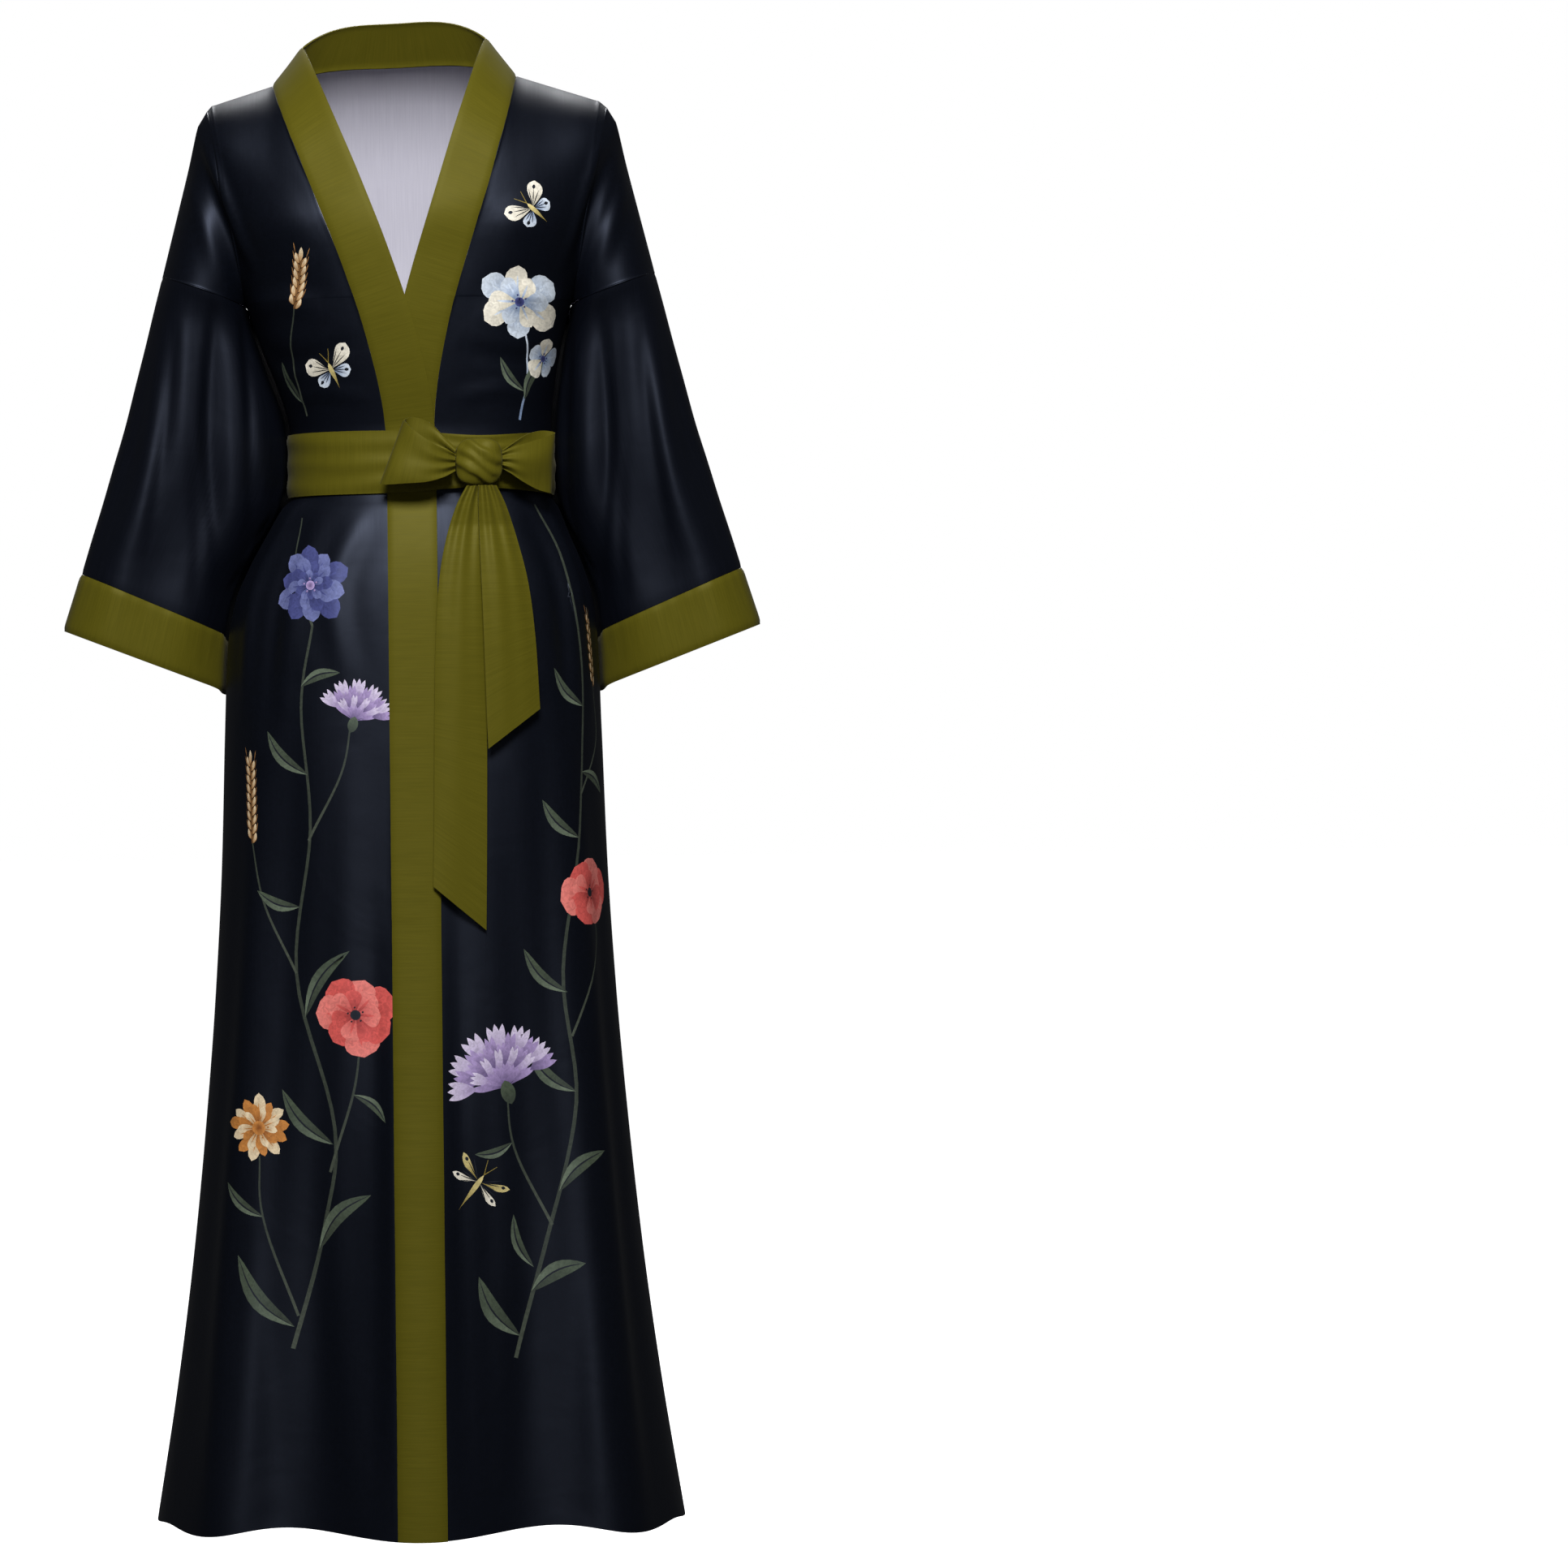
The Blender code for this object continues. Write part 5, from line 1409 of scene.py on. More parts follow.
    def settle(self, cloth: Cloth, creases: tuple[Crease, ...]) -> None:
        """Folds the cloth and rolls its edges into the seams.

        Args:
            cloth: the panel's cloth, which is changed.
            creases: its folds, in millimetres.
        """
        u, v = cloth.flat[:, 0] / MM, cloth.flat[:, 1] / MM
        used = {(q[k - 1], a) for q in cloth.quads for k, a in enumerate(q)}
        rim = sorted({i for a, b in used if (b, a) not in used for i in (a, b)})
        edge = np.zeros(len(u), dtype=bool)
        edge[rim] = True
        self.relax(cloth, np.array([p for p in used if p[0] < p[1] or p[::-1] not in used]), edge)
        lift = sum((c.lift(u, v) for c in creases), np.zeros(len(u)))
        calm = smooth_step(np.abs(cloth.flat[:, 1] - self.sash_middle), 0.030, 0.060)
        lift = lift * (0.15 + 0.85 * calm)
        open_cloth = smooth_step(np.abs(cloth.normals()[:, 1]), 0.20, 0.55)
        yoke = smooth_step(cloth.points[:, 2], -0.26, -0.21)
        lift = lift * (1 - yoke * (1 - open_cloth))
        hem = cloth.flat[:, 1] < self.form.hem_z + 1 * MM
        lift = np.where(edge & ~hem, lift * 0.3 - self.seam_roll, lift)
        cloth.pushed(lift)

    @staticmethod
    def relax(cloth: Cloth, pairs: Array, edge: Array, rounds: int = 16) -> None:
        """Evens out the depth of the chest and the shoulders, so that no form line shows as a ridge.

        Args:
            cloth: the panel's cloth, which is changed.
            pairs: the joined points, two to a row.
            edge: which points lie on the cloth's edges and stay put.
            rounds: how often each point moves towards its neighbours.
        """
        count = np.maximum(np.bincount(pairs.ravel(), minlength=len(edge)), 1)
        share = 0.5 * smooth_step(cloth.points[:, 2], -0.28, -0.20) * ~edge
        for _ in range(rounds):
            y, total = cloth.points[:, 1], np.zeros(len(edge))
            np.add.at(total, pairs[:, 0], y[pairs[:, 1]])
            np.add.at(total, pairs[:, 1], y[pairs[:, 0]])
            cloth.points[:, 1] = y + share * (total / count - y)


@dataclass
class Sleeves:
    """The two wide sleeves and the olive cuffs on them."""

    form: RobeForm
    wall: float = 1.2 * MM
    turns: int = 168
    spans: int = 7
    tube_round: float = 0.420
    shape: float = 2.1
    folds: int = 6
    ease: Pair = (0.4 * MM, 3.6 * MM)
    cuff_from: int = 9
    cuff_wall: float = 1.6 * MM
    cuff_stops: tuple[float, ...] = (
        0.0, 0.02, 0.06, 0.12, 0.2, 0.3, 0.4, 0.5, 0.6, 0.7, 0.8, 0.88, 0.94, 0.98, 1.0
    )
    cuff_puckers: int = 34
    back_shift: float = 8.0
    left_shift: float = 4.0
    end_roll: float = 0.5 * MM
    armpit_push: float = 1.6 * MM
    underarm_lead: float = 1.6 * MM
    columns: tuple[str, ...] = ("outer_x", "outer_z", "inner_x", "inner_z", "tuck", "depth", "fold")
    rows: Table = (
        (0.2276, -0.18, 0.15, -0.208, 0.0, 0.058, 0.0),
        (0.2352, -0.209, 0.134, -0.239, 0.034, 0.0575, 0.0012),
        (0.2435, -0.242, 0.118, -0.274, 0.045, 0.057, 0.0026),
        (0.253, -0.278, 0.105, -0.313, 0.05, 0.0565, 0.0038),
        (0.2635, -0.318, 0.102, -0.356, 0.05, 0.056, 0.0046),
        (0.2745, -0.354, 0.108, -0.397, 0.053, 0.055, 0.005),
        (0.285, -0.389, 0.128, -0.438, 0.053, 0.054, 0.005),
        (0.2955, -0.422, 0.148, -0.478, 0.05, 0.0525, 0.0044),
        (0.3048, -0.4525, 0.158, -0.5155, 0.046, 0.0515, 0.0032),
        (0.3075, -0.461, 0.16, -0.5245, 0.045, 0.0512, 0.0028),
        (0.3218, -0.505, 0.165, -0.565, 0.042, 0.051, 0.0012),
    )

    def ring(self, index: int, side: int) -> Array:
        """Points round one section of a sleeve, from the outer fold by the front to the back."""
        row = dict(zip(self.columns, self.rows[index]))
        outer = np.array([row["outer_x"] * side, 0.0, row["outer_z"]])
        shift = float(self.form.body["shift"](row["inner_z"]))
        inner = np.array([row["inner_x"] * side + shift, 0.0, row["inner_z"]])
        angle = 2 * math.pi * np.arange(self.turns) / self.turns
        along = np.sign(np.cos(angle)) * np.abs(np.cos(angle)) ** (2 / self.shape)
        out = np.sign(np.sin(angle)) * np.abs(np.sin(angle)) ** (2 / self.shape)
        fold = row["fold"] * np.cos(self.folds * angle + 0.6) * smooth_step(np.abs(np.sin(angle)), 0.2, 0.6)
        made = (outer + inner) / 2 + along[:, None] * (outer - inner) / 2
        made[:, 1] += row["tuck"] * ((1 - along) / 2) ** 1.6 - out * (row["depth"] + fold)
        return self.clear_of_body(made, side)

    def clear_of_body(self, points: Array, side: int) -> Array:
        """Sleeve points moved sideways off the body where they would come too close to it."""
        form, z = self.form, points[:, 2]
        deep = np.where(points[:, 1] < 0, form.body["front"](z), form.body["back"](z))
        across = np.clip(1 - (np.abs(points[:, 1]) / deep) ** form.roundness, 0, 1) ** (1 / form.roundness)
        below = smooth_step(form.underarm[1] - z, 0.0, 0.05)
        ease = self.ease[0] + (self.ease[1] - self.ease[0]) * below
        edge = form.body["half_width"](z) * across + side * form.body["shift"](z) + ease
        x = side * points[:, 0]
        pushed = 0.5 * (x + edge + np.sqrt((x - edge) ** 2 + (0.004 * below) ** 2))
        moved = points.copy()
        moved[:, 0] = side * np.where(z < form.underarm[1] - 0.004, pushed, x)
        return moved

    def armhole_ring(self, side: int) -> Array:
        """The sleeve's first section, one seam gap down the arm from the body's armhole."""
        form, made = self.form, []
        for turn in np.arange(self.turns) / self.turns:
            share = 2 * turn if turn <= 0.5 else 2 * (1 - turn)
            x, z = form.armhole_xz(share)
            face = -1 if turn <= 0.5 else 1
            deep = 0.0
            if turn not in (0.0, 0.5):
                deep = max(float(form.depth(side * x, z, face)), form.seam_gap / 2)
            made.append((side * (x + self.underarm_lead * share**4), face * deep, z))
        points = np.array(made)
        height, up = form.armhole_height(points)
        return points - up * (height + form.seam_gap)[:, None]

    def tube(self, rings: list[Array], spans: int, middle: Array) -> Cloth:
        """A smooth tube of cloth through rings of points.

        Args:
            rings: sections of the tube.
            spans: rows made between two sections.
            middle: a point inside the tube.

        Returns:
            The cloth, with its unrolled place at every point.
        """
        stacked = bent_line(np.array([r.ravel() for r in rings]), spans).reshape(-1, self.turns, 3)
        grid = stacked.transpose(1, 0, 2)
        down = np.concatenate([[0], np.cumsum(np.linalg.norm(np.diff(stacked, axis=0), axis=2).mean(axis=1))])
        turn = np.arange(self.turns) / self.turns * self.tube_round
        return grid_cloth(grid, turn, down, closed=True).turned_out(middle)

    def sleeve_cloth(self, side: int) -> Cloth:
        """A sleeve from the armhole to the cuff, with its folds and with both ends rolled into the seams."""
        rings = [self.armhole_ring(side)] + [self.ring(i, side) for i in range(1, self.cuff_from)]
        made = self.tube(rings, self.spans, np.mean(rings[len(rings) // 2], axis=0))
        u, v = made.flat[:, 0] / MM, made.flat[:, 1] / MM
        x, y, z = made.points.T / MM
        # the folds of the back and of the left sleeve lie a little apart from the others
        uneven = np.where(y > 0, self.back_shift, 0.0) + (self.left_shift if side > 0 else 0.0)
        lift = sum((c.lift(side * x + uneven, z + uneven) for c in SLEEVE_CREASES), np.zeros(len(u)))
        lift *= smooth_step(np.abs(made.normals()[:, 1]), 0.25, 0.6)
        length = v.max()
        lift = lift * smooth_step(v, 0, 25) * smooth_step(length - v, 0, 12)
        lift -= self.end_roll * near_ends(v, 2.0, length)
        # the cloth under the arm is full, so the seam's gap doesn't show there
        under = (u - self.tube_round / MM / 2) / 26
        lift += self.armpit_push * np.exp(-(((v - 8) / 9) ** 2) - under**2)
        made.pushed(lift)
        return made

    def cuff_cloth(self, side: int) -> Cloth:
        """A cuff from its seam to its folded edge, puckered along the seam."""
        first, last = self.ring(self.cuff_from - 1, side), self.ring(len(self.rows) - 1, side)
        down = last - first
        step = down / np.linalg.norm(down, axis=1)[:, None] * self.form.seam_gap
        ends = [first + step + (down - step) * share for share in self.cuff_stops]
        made = self.tube(ends, 1, np.mean(ends, axis=(0, 1)))
        v = made.flat[:, 1] / made.flat[:, 1].max()
        round_it = made.flat[:, 0] * 2 * math.pi / self.tube_round
        pucker = np.sin(round_it * self.cuff_puckers) * np.exp(-v / 0.2)
        made.pushed(0.9 * MM - 1.3 * MM * near_ends(v, 0.05) + 0.25 * MM * pucker)
        return made


@dataclass
class Band:
    """The long olive band round the neck and down both fronts."""

    form: RobeForm
    panels: Panels
    columns: int = 12
    wall: float = 1.6 * MM
    proud: float = 0.5 * MM

    def station(self, side: int, z: float) -> tuple[Array, Array]:
        """The band's seam edge and free edge on a front, at the seam's height."""
        form = self.form
        seam_x = float(form.seam[side](z))
        run = (float(form.seam[side](z - 0.004)) - float(form.seam[side](z + 0.004))) / 0.008
        across = np.array([-side, abs(run)]) / math.hypot(1.0, run)
        edge = form.front_point(seam_x, z, side)
        free_z = max(z + form.band_width * across[1], form.hem_z)
        lying = form.front_point(seam_x + form.band_width * across[0], free_z, side)
        standing = edge + form.neck_stand(math.pi if side < 0 else 0.0)
        rise = float(smooth_step(z, form.band_lies_below, 0.0))
        return edge, lying + (standing - lying) * rise

    def spans(self) -> tuple[Array, Array]:
        """Both edges of the band, from the right hem round the neck to the left hem."""
        form, low = self.form, self.form.underarm[1]
        heights = {}
        for side in (-1, 1):
            top = float(form.shoulder_line(form.neck_middle + side * form.neck_half))
            yoke = top + (low - top) * self.panels.yoke_shares()
            heights[side] = np.concatenate([yoke, self.panels.lower_heights()[1:]])
        pairs = [self.station(-1, z) for z in heights[-1][:0:-1]]
        for angle in np.linspace(math.pi, 0, 2 * self.panels.torso_columns + 1):
            edge = form.back_neck_point(angle)
            pairs.append((edge, edge + form.neck_stand(angle)))
        pairs += [self.station(1, z) for z in heights[1][1:]]
        edges, frees = (np.array(part) for part in zip(*pairs))
        towards = frees - edges
        eased = (edges[:, 2] > form.band_lies_below)[:, None]
        for _ in range(150):
            smoothed = towards.copy()
            smoothed[1:-1] = (towards[:-2] + 2 * towards[1:-1] + towards[2:]) / 4
            towards = np.where(eased, smoothed, towards)
        return edges, edges + towards / np.linalg.norm(towards, axis=1)[:, None] * form.band_width

    def cloth(self) -> Cloth:
        """The band's cloth, rounded at its two folded edges and drawn in a little along its seam."""
        form = self.form
        edges, frees = self.spans()
        shares = (1 - np.cos(np.linspace(0, math.pi, self.columns + 1))) / 2
        rows = []
        for edge, free in zip(edges, frees):
            line = edge + np.outer(shares, free - edge)
            side = -1 if edge[0] < 0 else 1
            lies = float(smooth_step(-edge[2], -form.band_lies_below - 0.012, -form.band_lies_below + 0.018))
            on_body = form.front_point(line[:, 0], line[:, 2], side)
            line = line + (on_body - line) * lies
            line[:, 2] = form.hem_height(line[:, 0], line[:, 2])
            rows.append(line)
        length = np.concatenate([[0], np.cumsum(np.linalg.norm(np.diff(edges, axis=0), axis=1))])
        made = grid_cloth(np.array(rows), length, shares * form.band_width)
        made.turned_out(np.array([0.0, 0.0, -0.5]))
        along, share = made.flat[:, 0], made.flat[:, 1] / form.band_width
        edge_roll = near_ends(share, 0.05, far=0.8)
        pucker = np.sin(along * 420 + 2 * np.sin(along * 97)) * np.exp(-share / 0.22)
        ease = 0.35 * np.sin(along * 31 + 1.3) * np.sin(along * 13.7)
        near_sash = 1 - 0.8 * swell(made.points[:, 2] - self.panels.sash_middle, 0.045)
        lift = self.proud - 1.1 * MM * edge_roll + (0.22 * pucker + ease) * MM * near_sash
        made.pushed(lift)
        return made


@dataclass
class Sash:
    """The sash round the waist and its bow: knot, two loops and two hanging ends."""

    form: RobeForm
    wall: float = 1.5 * MM
    top_z: float = -0.3275
    bottom_z: float = -0.3850
    off_cloth: float = 3.0 * MM
    pull: float = 5 * MM
    pull_reach: float = 50 * MM
    turns: int = 336
    knot: Pair = (0.0620, -0.3575)
    knot_half: tuple[float, float, float] = (0.0215, 0.0125, 0.0215)
    knot_off: float = 0.0171
    loop_turn: Pair = (0.088, 0.60)
    right_loop: Table = (
        (-0.0212, 0.0122, 0.005, 0.007, 0.0),
        (-0.032, 0.0095, 0.01, 0.014, 0.0),
        (-0.046, 0.006, 0.015, 0.021, 0.002),
        (-0.064, 0.0058, 0.015, 0.0262, 0.006),
        (-0.075, 0.0095, 0.012, 0.028, 0.009),
        (-0.079, 0.016, 0.0095, 0.0285, 0.011),
        (-0.075, 0.0225, 0.007, 0.0275, 0.01),
        (-0.063, 0.0272, 0.0035, 0.0235, 0.006),
        (-0.046, 0.0275, -0.0005, 0.0182, 0.002),
        (-0.032, 0.0235, -0.0015, 0.0128, 0.0),
        (-0.0214, 0.018, -0.001, 0.0075, 0.0),
    )
    left_loop: Table = (
        (0.0212, 0.0122, 0.004, 0.007, 0.0),
        (0.031, 0.009, 0.005, 0.013, 0.0),
        (0.043, 0.0062, 0.006, 0.02, 0.001),
        (0.056, 0.0062, 0.0045, 0.025, 0.001),
        (0.065, 0.01, 0.002, 0.0268, 0.002),
        (0.0685, 0.0155, 0.0, 0.0272, 0.002),
        (0.065, 0.0215, -0.0015, 0.0262, 0.001),
        (0.054, 0.0252, -0.002, 0.0228, 0.001),
        (0.04, 0.0255, -0.001, 0.017, 0.0),
        (0.029, 0.0225, 0.001, 0.0115, 0.0),
        (0.0212, 0.018, 0.0015, 0.0075, 0.0),
    )
    long_tail: Table = (
        (0.0218, -0.003, 0.0085, 0.0062),
        (0.04, -0.008, 0.013, 0.0066),
        (0.07, -0.013, 0.0175, 0.006),
        (0.11, -0.0165, 0.021, 0.005),
        (0.17, -0.018, 0.0232, 0.0045),
        (0.24, -0.019, 0.0238, 0.0042),
        (0.31, -0.02, 0.0238, 0.0042),
        (0.385, -0.0215, 0.0238, 0.0042),
    )
    short_tail: Table = (
        (0.0215, 0.008, 0.008, 0.0112),
        (0.04, 0.012, 0.0125, 0.012),
        (0.07, 0.017, 0.017, 0.012),
        (0.11, 0.0225, 0.0212, 0.0115),
        (0.16, 0.0265, 0.0232, 0.0105),
        (0.225, 0.0295, 0.0238, 0.01),
    )
    tail_cuts: Pair = (0.0400, -0.0360)
    tail_roll: float = 3 * MM
    knot_wall: float = 1.0 * MM
    loop_flat: Pair = (0.16, 0.028)
    tail_half_width: float = 0.024

    def wrap_cloth(self) -> Cloth:
        """The strip that goes round the waist, with soft folds drawn towards the knot."""
        shares = np.concatenate([[0.0, 0.02], np.linspace(0.06, 0.94, 15), [0.98, 1.0]])
        grid = np.zeros((self.turns, len(shares), 3))
        for i in range(self.turns):
            angle = 2 * math.pi * (i + 0.5) / self.turns
            probe = self.form.waist_point(angle, self.knot[1], 0.0)
            near = math.exp(-(((probe[0] - self.knot[0]) / self.pull_reach) ** 2)) if probe[1] < 0 else 0.0
            high, low = self.top_z - self.pull * near, self.bottom_z + self.pull * near
            for k, share in enumerate(shares):
                grid[i, k] = self.form.waist_point(angle, high + (low - high) * share, self.off_cloth)
        middle = grid[:, :, :2].mean(axis=(0, 1))
        reach = np.linalg.norm(grid[:, :, :2] - middle, axis=2)
        grid[:, :, :2] = middle + (grid[:, :, :2] - middle) * (reach.max(axis=1)[:, None] / reach)[..., None]
        round_it = float(np.linalg.norm(np.diff(grid[:, 0], axis=0), axis=1).sum())
        turn = np.arange(self.turns) / self.turns * round_it
        made = grid_cloth(grid, turn, shares * (self.top_z - self.bottom_z), closed=True)
        made.turned_out(np.array([0.01, 0.0, self.knot[1]]))
        share = np.tile(shares, self.turns)
        away = np.hypot(made.points[:, 0] - self.knot[0], made.points[:, 1] + 0.09)
        drawn = swell(away, 0.075)
        fan = (share - 0.5) * (1 + 0.6 * drawn)
        lift = (0.5 + 1.1 * drawn) * MM * np.cos(fan * 17 + 0.6 * np.sin(away * 38))
        lift += 0.5 * MM * np.sin(away * 47 + share * 5)
        ends = near_ends(share, 0.05)
        made.pushed(np.maximum(lift, -0.6 * MM) * (1 - 0.7 * ends) - 0.5 * MM * ends)
        return made

    def off_sash(self, across: float, out: float, up: float) -> Array:
        """A point beside the knot: across from its middle, out from the sash's face, and up."""
        x = self.knot[0] + across
        past = max(0.0, x - self.loop_turn[0])
        deep = float(self.form.depth(x - past, self.knot[1], -1)) - self.loop_turn[1] * past
        return np.array([x, -deep - self.off_cloth - out, self.knot[1] + up])

    def loop_cloth(self, table: Table, seed: float) -> Cloth:
        """A loop: the strip folded back on itself, gathered where it enters the knot.

        Args:
            table: rows of across, out, up, half width and edge tilt along the strip.
            seed: shifts the folds, so that the two loops differ.

        Returns:
            The strip's cloth.
        """
        rows = np.array([[*self.off_sash(*row[:3]), row[3], row[4]] for row in table])
        fine = bent_line(rows, 9)
        shares = np.linspace(-1, 1, 33)
        count = len(fine)
        grid = np.zeros((count, len(shares), 3))
        for i, (x, y, z, half, tilt) in enumerate(fine):
            along = i / (count - 1)
            front = float(smooth_step(along, 0.45, 0.62))
            gather = math.exp(-((min(along, 1 - along) / 0.16) ** 2))
            bow = 2.2 * MM * (1 - shares**2) * (front * 1.3 - 0.3)
            folds = gather * 1.5 * MM * np.cos(shares * 9.0 + seed + along * 3)
            sweep = (1 - gather) * 1.3 * MM * np.sin(shares * 3.4 + seed * 1.7 + along * 5.0) * front
            grid[i] = np.stack([x + shares * tilt, y - bow - folds - sweep, z + shares * half], axis=1)
        made = grid_cloth(grid, np.linspace(0, self.loop_flat[0], count), shares * self.loop_flat[1])
        return made.turned_out(made.points.mean(axis=0))

    def tail_cloth(self, table: Table, cut: float, seed: float) -> Cloth:
        """A hanging end, gathered at the knot, with soft lengthwise folds that die out downwards.

        Args:
            table: rows of drop, middle, half width and distance off the robe.
            cut: how far its tip slants.
            seed: shifts the folds.

        Returns:
            The strip's cloth.
        """
        rows = bent_line(np.array(table), 14)
        shares = np.concatenate([[-1.0, -0.985], np.linspace(-0.94, 0.94, 21), [0.985, 1.0]])
        last = table[-1][0]
        grid = []
        for drop, middle, half, off in rows:
            x = self.knot[0] + middle + shares * half
            slant = (np.abs(cut) * 0.5 + cut * shares * 0.5) * smooth_step(drop, last * 0.45, last)
            z = self.knot[1] - drop - slant
            deep = self.form.depth(x, np.minimum(z, self.bottom_z - 0.03), -1)
            gather = math.exp(-((drop - 0.02) / 0.075))
            fold = gather * 2.0 * MM * np.cos(shares * 8 + seed)
            hang = 1.0 * MM * np.sin(shares * 2.6 + seed + drop * 9) * (1 - gather)
            roll = self.tail_roll * (1 - shares**2) * 0.8
            grid.append(np.stack([x, -deep - off - roll - np.maximum(fold + hang, -1.2 * MM), z], axis=1))
        points = np.array(grid)
        made = grid_cloth(points, rows[:, 0], shares * self.tail_half_width)
        return made.turned_out(points.mean(axis=(0, 1)) + np.array([0, 0.3, 0]))

    def knot_cloth(self) -> Cloth:
        """The knot: the strip drawn tight round itself, with slanting folds across its front."""
        deep = float(self.form.depth(self.knot[0], self.knot[1], -1))
        middle = np.array([self.knot[0], -deep - self.knot_off, self.knot[1]])
        columns, rows = 96, 49
        turn = 2 * math.pi * np.arange(columns)[:, None] / columns
        tilt = math.pi * np.linspace(0.012, 0.988, rows)[None, :]
        x, y, z = np.sin(tilt) * np.cos(turn), np.sin(tilt) * np.sin(turn), np.cos(tilt) + 0 * turn
        flat_round = np.maximum(np.hypot(x, z), 1e-6)
        square = np.maximum((np.abs(x) ** 3 + np.abs(z) ** 3) ** (1 / 3) / flat_round, 0.8)
        front = smooth_step(-y, -0.1, 0.5)
        across = x * 0.55 + z
        folds = 0.060 * np.cos(across * 11 + 0.9 * np.sin(x * 3)) * front
        pinch = 1 - 0.10 * swell(across, 0.28) * front + folds - 0.03 * front
        scale = np.stack([pinch / square, pinch, pinch / square], axis=-1) * np.array(self.knot_half)
        points = middle + np.stack([x, y, z], axis=-1) * scale
        made = grid_cloth(points, turn.ravel() * 0.02, tilt.ravel() * 0.02, closed=True)
        return made.turned_out(middle)


@dataclass
class Studio:
    """The floor, the soft light and the camera.

    The picture is 1932 pixels square at 0.75 mm a pixel where the robe's middle plane is.
    """

    pixel: float = 0.75 * MM
    side: int = 1932
    middle_x: float = 510.0
    shoulder_y: float = 100.0
    distance: float = 6.0
    roll: float = 0.0105
    floor_z: float = -1.40

    def build(self) -> None:
        """Builds all three."""
        self.add_floor()
        self.add_lights()
        self.add_camera()
        bpy.context.scene.view_settings.view_transform = "Standard"

    def add_floor(self) -> None:
        """A plain pale floor, far wider than the view."""
        bpy.ops.object.select_all(action="DESELECT")
        bpy.ops.mesh.primitive_circle_add(
            vertices=96, radius=60.0, fill_type="NGON", location=(0, 0, self.floor_z)
        )
        floor = bpy.context.object
        floor.name = "floor"
        matt = bpy.data.materials.new("pale_floor_paint")
        matt.use_nodes = True
        paint = {"Base Color": linear("#f4f4f4"), "Roughness": 0.9, "Specular IOR Level": 0.1}
        glow = {"Emission Color": WHITE, "Emission Strength": 1.0}
        set_inputs(matt.node_tree.nodes["Principled BSDF"], paint | glow)
        floor.data.materials.append(matt)
        floor.visible_glossy = False
        floor.visible_diffuse = False

    def add_light(self, name: str, place: tuple, aim: tuple, size: tuple, power: float) -> None:
        """Adds one soft rectangular light.

        Args:
            name: the light's name.
            place: where it hangs.
            aim: the point it faces.
            size: its width and height, in metres.
            power: its power, in watts.
        """
        light = bpy.data.lights.new(name, "AREA")
        light.shape = "RECTANGLE"
        light.size, light.size_y = size
        light.energy = power
        made = bpy.data.objects.new(name, light)
        made.location = place
        made.rotation_euler = (Vector(aim) - Vector(place)).to_track_quat("-Z", "Y").to_euler()
        bpy.context.scene.collection.objects.link(made)

    def add_lights(self) -> None:
        """High softboxes in front and behind, a low front fill and a top light, in a dim white room."""
        self.add_light("front_softbox", (0.0, -2.6, 1.5), (0, 0, -0.5), (1.2, 1.0), 118)
        self.add_light("front_fill", (0.0, -4.0, -0.4), (0, 0, -0.6), (0.9, 2.4), 6)
        self.add_light("back_softbox", (0.0, 2.2, 2.3), (0, 0, -0.6), (1.2, 1.0), 85)
        self.add_light("top_softbox", (0.0, 0.0, 2.4), (0, 0, 0), (1.6, 1.6), 5)
        world = bpy.data.worlds.new("white_room")
        bpy.context.scene.world = world
        world.use_nodes = True
        tree = world.node_tree
        room = tree.nodes["Background"]
        seen = tree.nodes.new("ShaderNodeBackground")
        set_inputs(room, {"Color": WHITE, "Strength": 0.05})
        set_inputs(seen, {"Color": WHITE, "Strength": 1.0})
        ray = tree.nodes.new("ShaderNodeLightPath")
        mix = tree.nodes.new("ShaderNodeMixShader")
        tree.links.new(ray.outputs["Is Camera Ray"], mix.inputs[0])
        tree.links.new(room.outputs[0], mix.inputs[1])
        tree.links.new(seen.outputs[0], mix.inputs[2])
        tree.links.new(mix.outputs[0], tree.nodes["World Output"].inputs["Surface"])

    def add_camera(self) -> None:
        """A level camera, straight in front, with the small roll and the shift of the picture."""
        width = self.side * self.pixel
        data = bpy.data.cameras.new("camera")
        data.sensor_width = 36.0
        data.lens = 36.0 * self.distance / width
        data.shift_x = (self.side / 2 - self.middle_x) / self.side
        camera = bpy.data.objects.new("camera", data)
        camera.location = (0.0, -self.distance, (self.shoulder_y - self.side / 2) * self.pixel)
        camera.rotation_euler = (math.pi / 2, self.roll, 0.0)
        bpy.context.scene.collection.objects.link(camera)
        bpy.context.scene.camera = camera


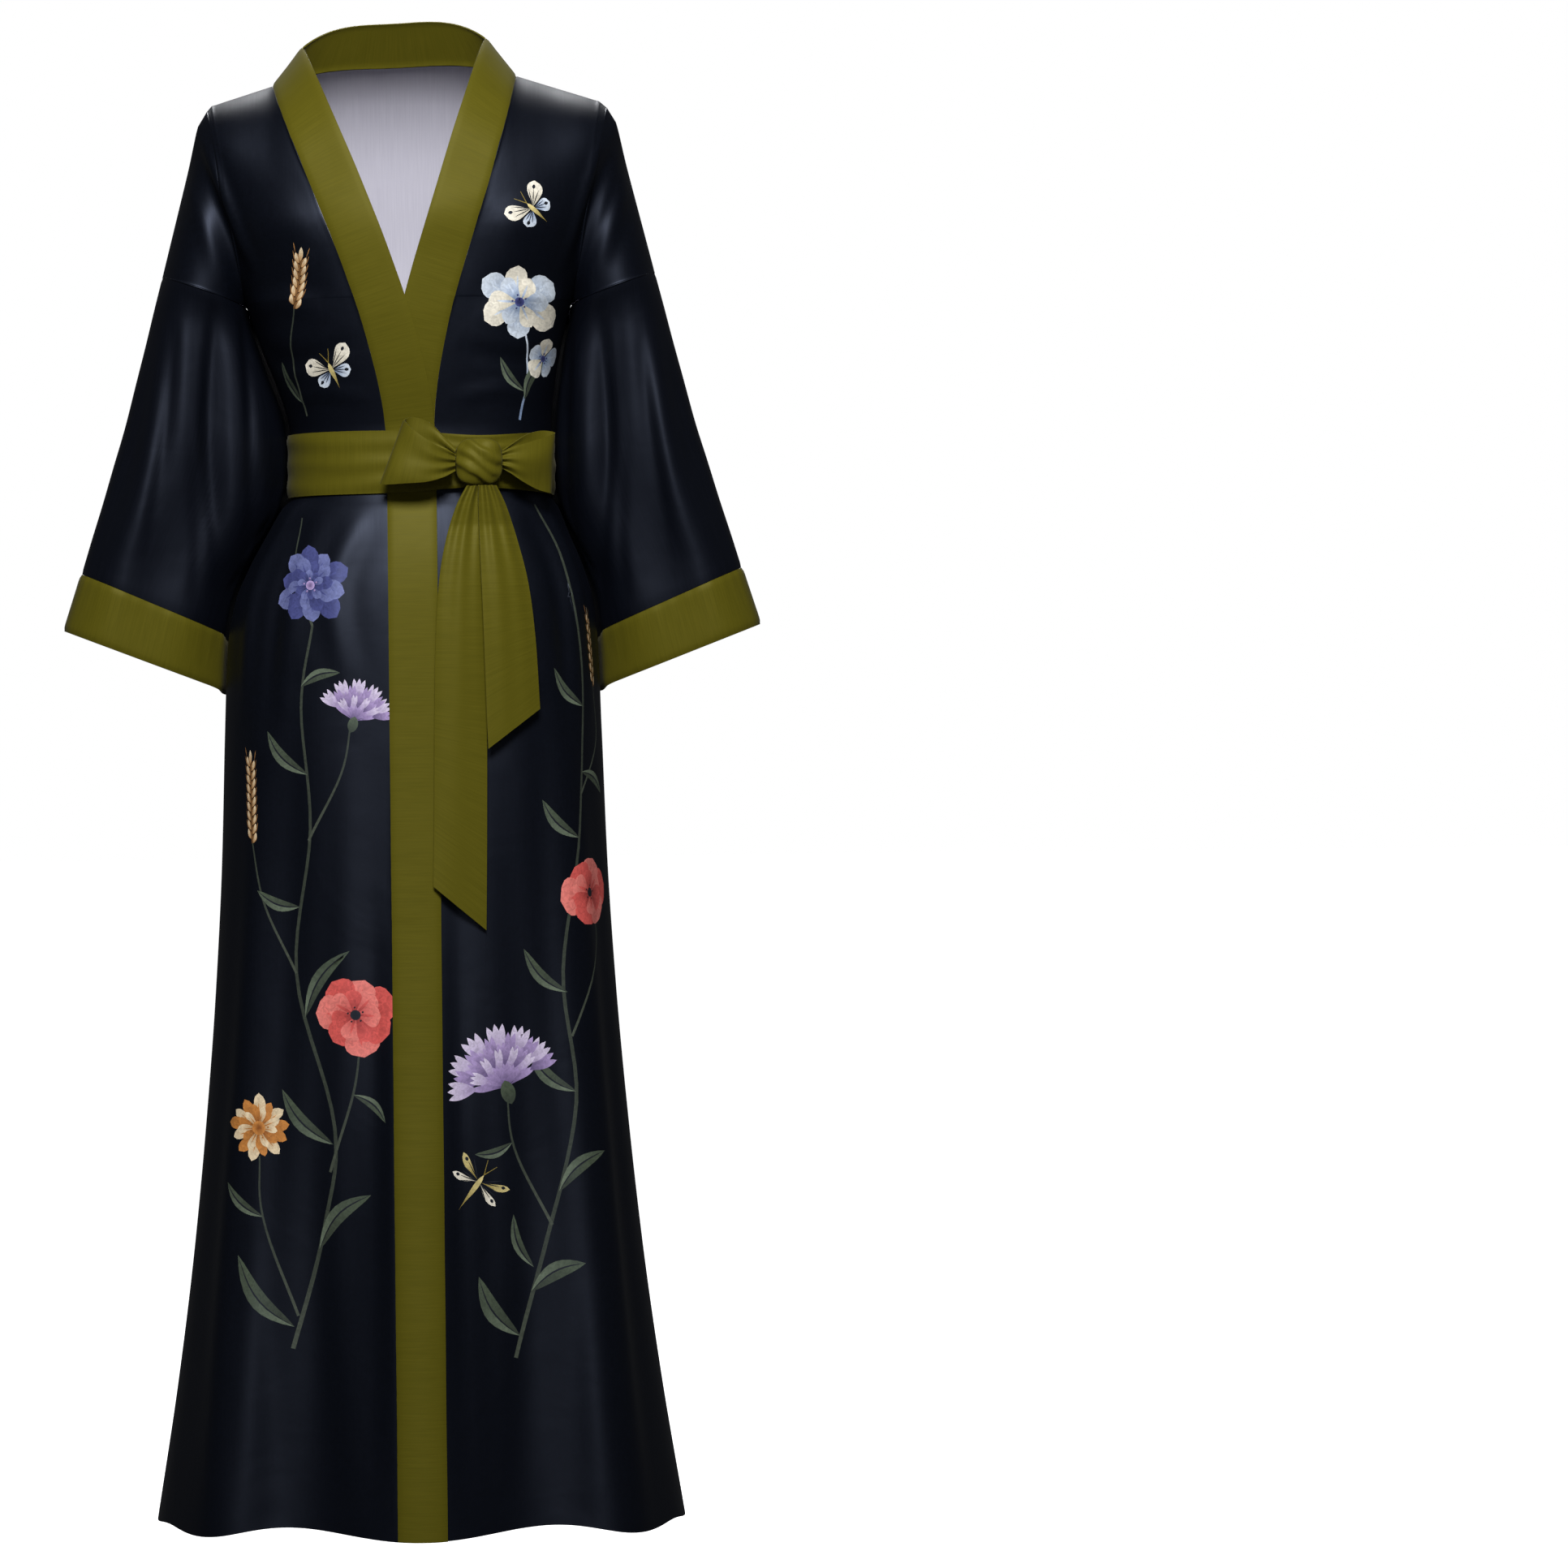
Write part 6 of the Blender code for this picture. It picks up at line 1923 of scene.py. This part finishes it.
@dataclass
class Robe:
    """The whole robe, piece by piece."""

    form: RobeForm
    finishes: Wardrobe
    triangles: int = 0

    def keep(self, piece: Piece, node: str) -> Piece:
        """Puts a finished piece in place of its solid.

        Args:
            piece: the finished piece.
            node: the solid that it stands for.

        Returns:
            The piece.
        """
        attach(piece, "root")
        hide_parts(node)
        count = sum(len(p.vertices) - 2 for p in piece.data.polygons)
        self.triangles += count
        log.info("%s: %d triangles", piece.name, count)
        return piece

    def build(self) -> None:
        """Builds every piece."""
        self.build_panels()
        self.build_sleeves()
        self.build_band()
        self.build_sash()
        log.info("robe: %d triangles", self.triangles)

    def build_panels(self) -> None:
        """The back and the two fronts, with their print."""
        panels = Panels(self.form)
        back = panels.cloth(panels.half(-1, 1), panels.half(1, 1))
        panels.settle(back, BACK_CREASES)
        made = self.printed("robe_back", back, panels.wall, BACK_PRINT)
        self.keep(made, "back_panel")
        for side, word, folds, design in (
            (-1, "right", RIGHT_CREASES, RIGHT_PRINT),
            (1, "left", LEFT_CREASES, LEFT_PRINT),
        ):
            front = panels.cloth(panels.half(side, -1))
            panels.settle(front, folds)
            made = self.printed(f"robe_{word}_front", front, panels.wall, design)
            self.keep(made, f"{word}_front")

    def printed(self, name: str, cloth: Cloth, wall: float, design: tuple) -> Piece:
        """A panel with its print worked into the cloth."""
        cloth, colours, normals = Printer(cloth, design).work()
        return Weaver.shell(name, cloth, wall, self.finishes.navy, self.finishes.reverse, colours, normals)

    def olive_piece(self, name: str, cloth: Cloth, wall: float, node: str) -> Piece:
        """A piece of olive satin, which is olive on both sides, put in place of its solid."""
        olive = self.finishes.olive
        return self.keep(Weaver.shell(name, cloth, wall, olive, olive), node)

    def build_sleeves(self) -> None:
        """Both sleeves and both cuffs."""
        sleeves = Sleeves(self.form)
        outside, inside = self.finishes.plain_navy, self.finishes.dark_reverse
        for side, word in ((-1, "right"), (1, "left")):
            cloth = sleeves.sleeve_cloth(side)
            made = Weaver.shell(f"robe_{word}_sleeve", cloth, sleeves.wall, outside, inside)
            self.keep(made, f"{word}_sleeve")
            cuff = sleeves.cuff_cloth(side)
            made = self.olive_piece(f"robe_{word}_cuff", cuff, sleeves.cuff_wall, f"{word}_cuff")

    def build_band(self) -> None:
        """The neckband."""
        band = Band(self.form, Panels(self.form))
        made = self.olive_piece("robe_neckband", band.cloth(), band.wall, "neckband")

    def build_sash(self) -> None:
        """The sash and its bow."""
        sash = Sash(self.form)
        wrap = self.olive_piece("sash_round_the_waist", sash.wrap_cloth(), sash.wall, "sash_wrap")
        knot = self.olive_piece("sash_knot", sash.knot_cloth(), sash.knot_wall, "bow_knot")
        for word, table, seed, length in (
            ("right", sash.right_loop, 0.4, 0.165),
            ("left", sash.left_loop, 2.1, 0.145),
        ):
            cloth = sash.loop_cloth(table, seed)
            loop = self.olive_piece(f"sash_{word}_loop", cloth, sash.wall, f"bow_loop_{word}")
        for word, table, cut, seed, length in (
            ("long", sash.long_tail, sash.tail_cuts[0], 0.7, 0.385),
            ("short", sash.short_tail, sash.tail_cuts[1], 2.4, 0.23),
        ):
            cloth = sash.tail_cloth(table, cut, seed)
            tail = self.olive_piece(f"sash_{word}_end", cloth, sash.wall, f"bow_tail_{word}")


def main() -> None:
    """Loads the frame and builds the robe and its studio."""
    logging.basicConfig(level=logging.INFO, format="%(name)s %(message)s")
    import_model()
    Robe(RobeForm(), Wardrobe()).build()
    Studio().build()


if __name__ == "__main__":
    main()
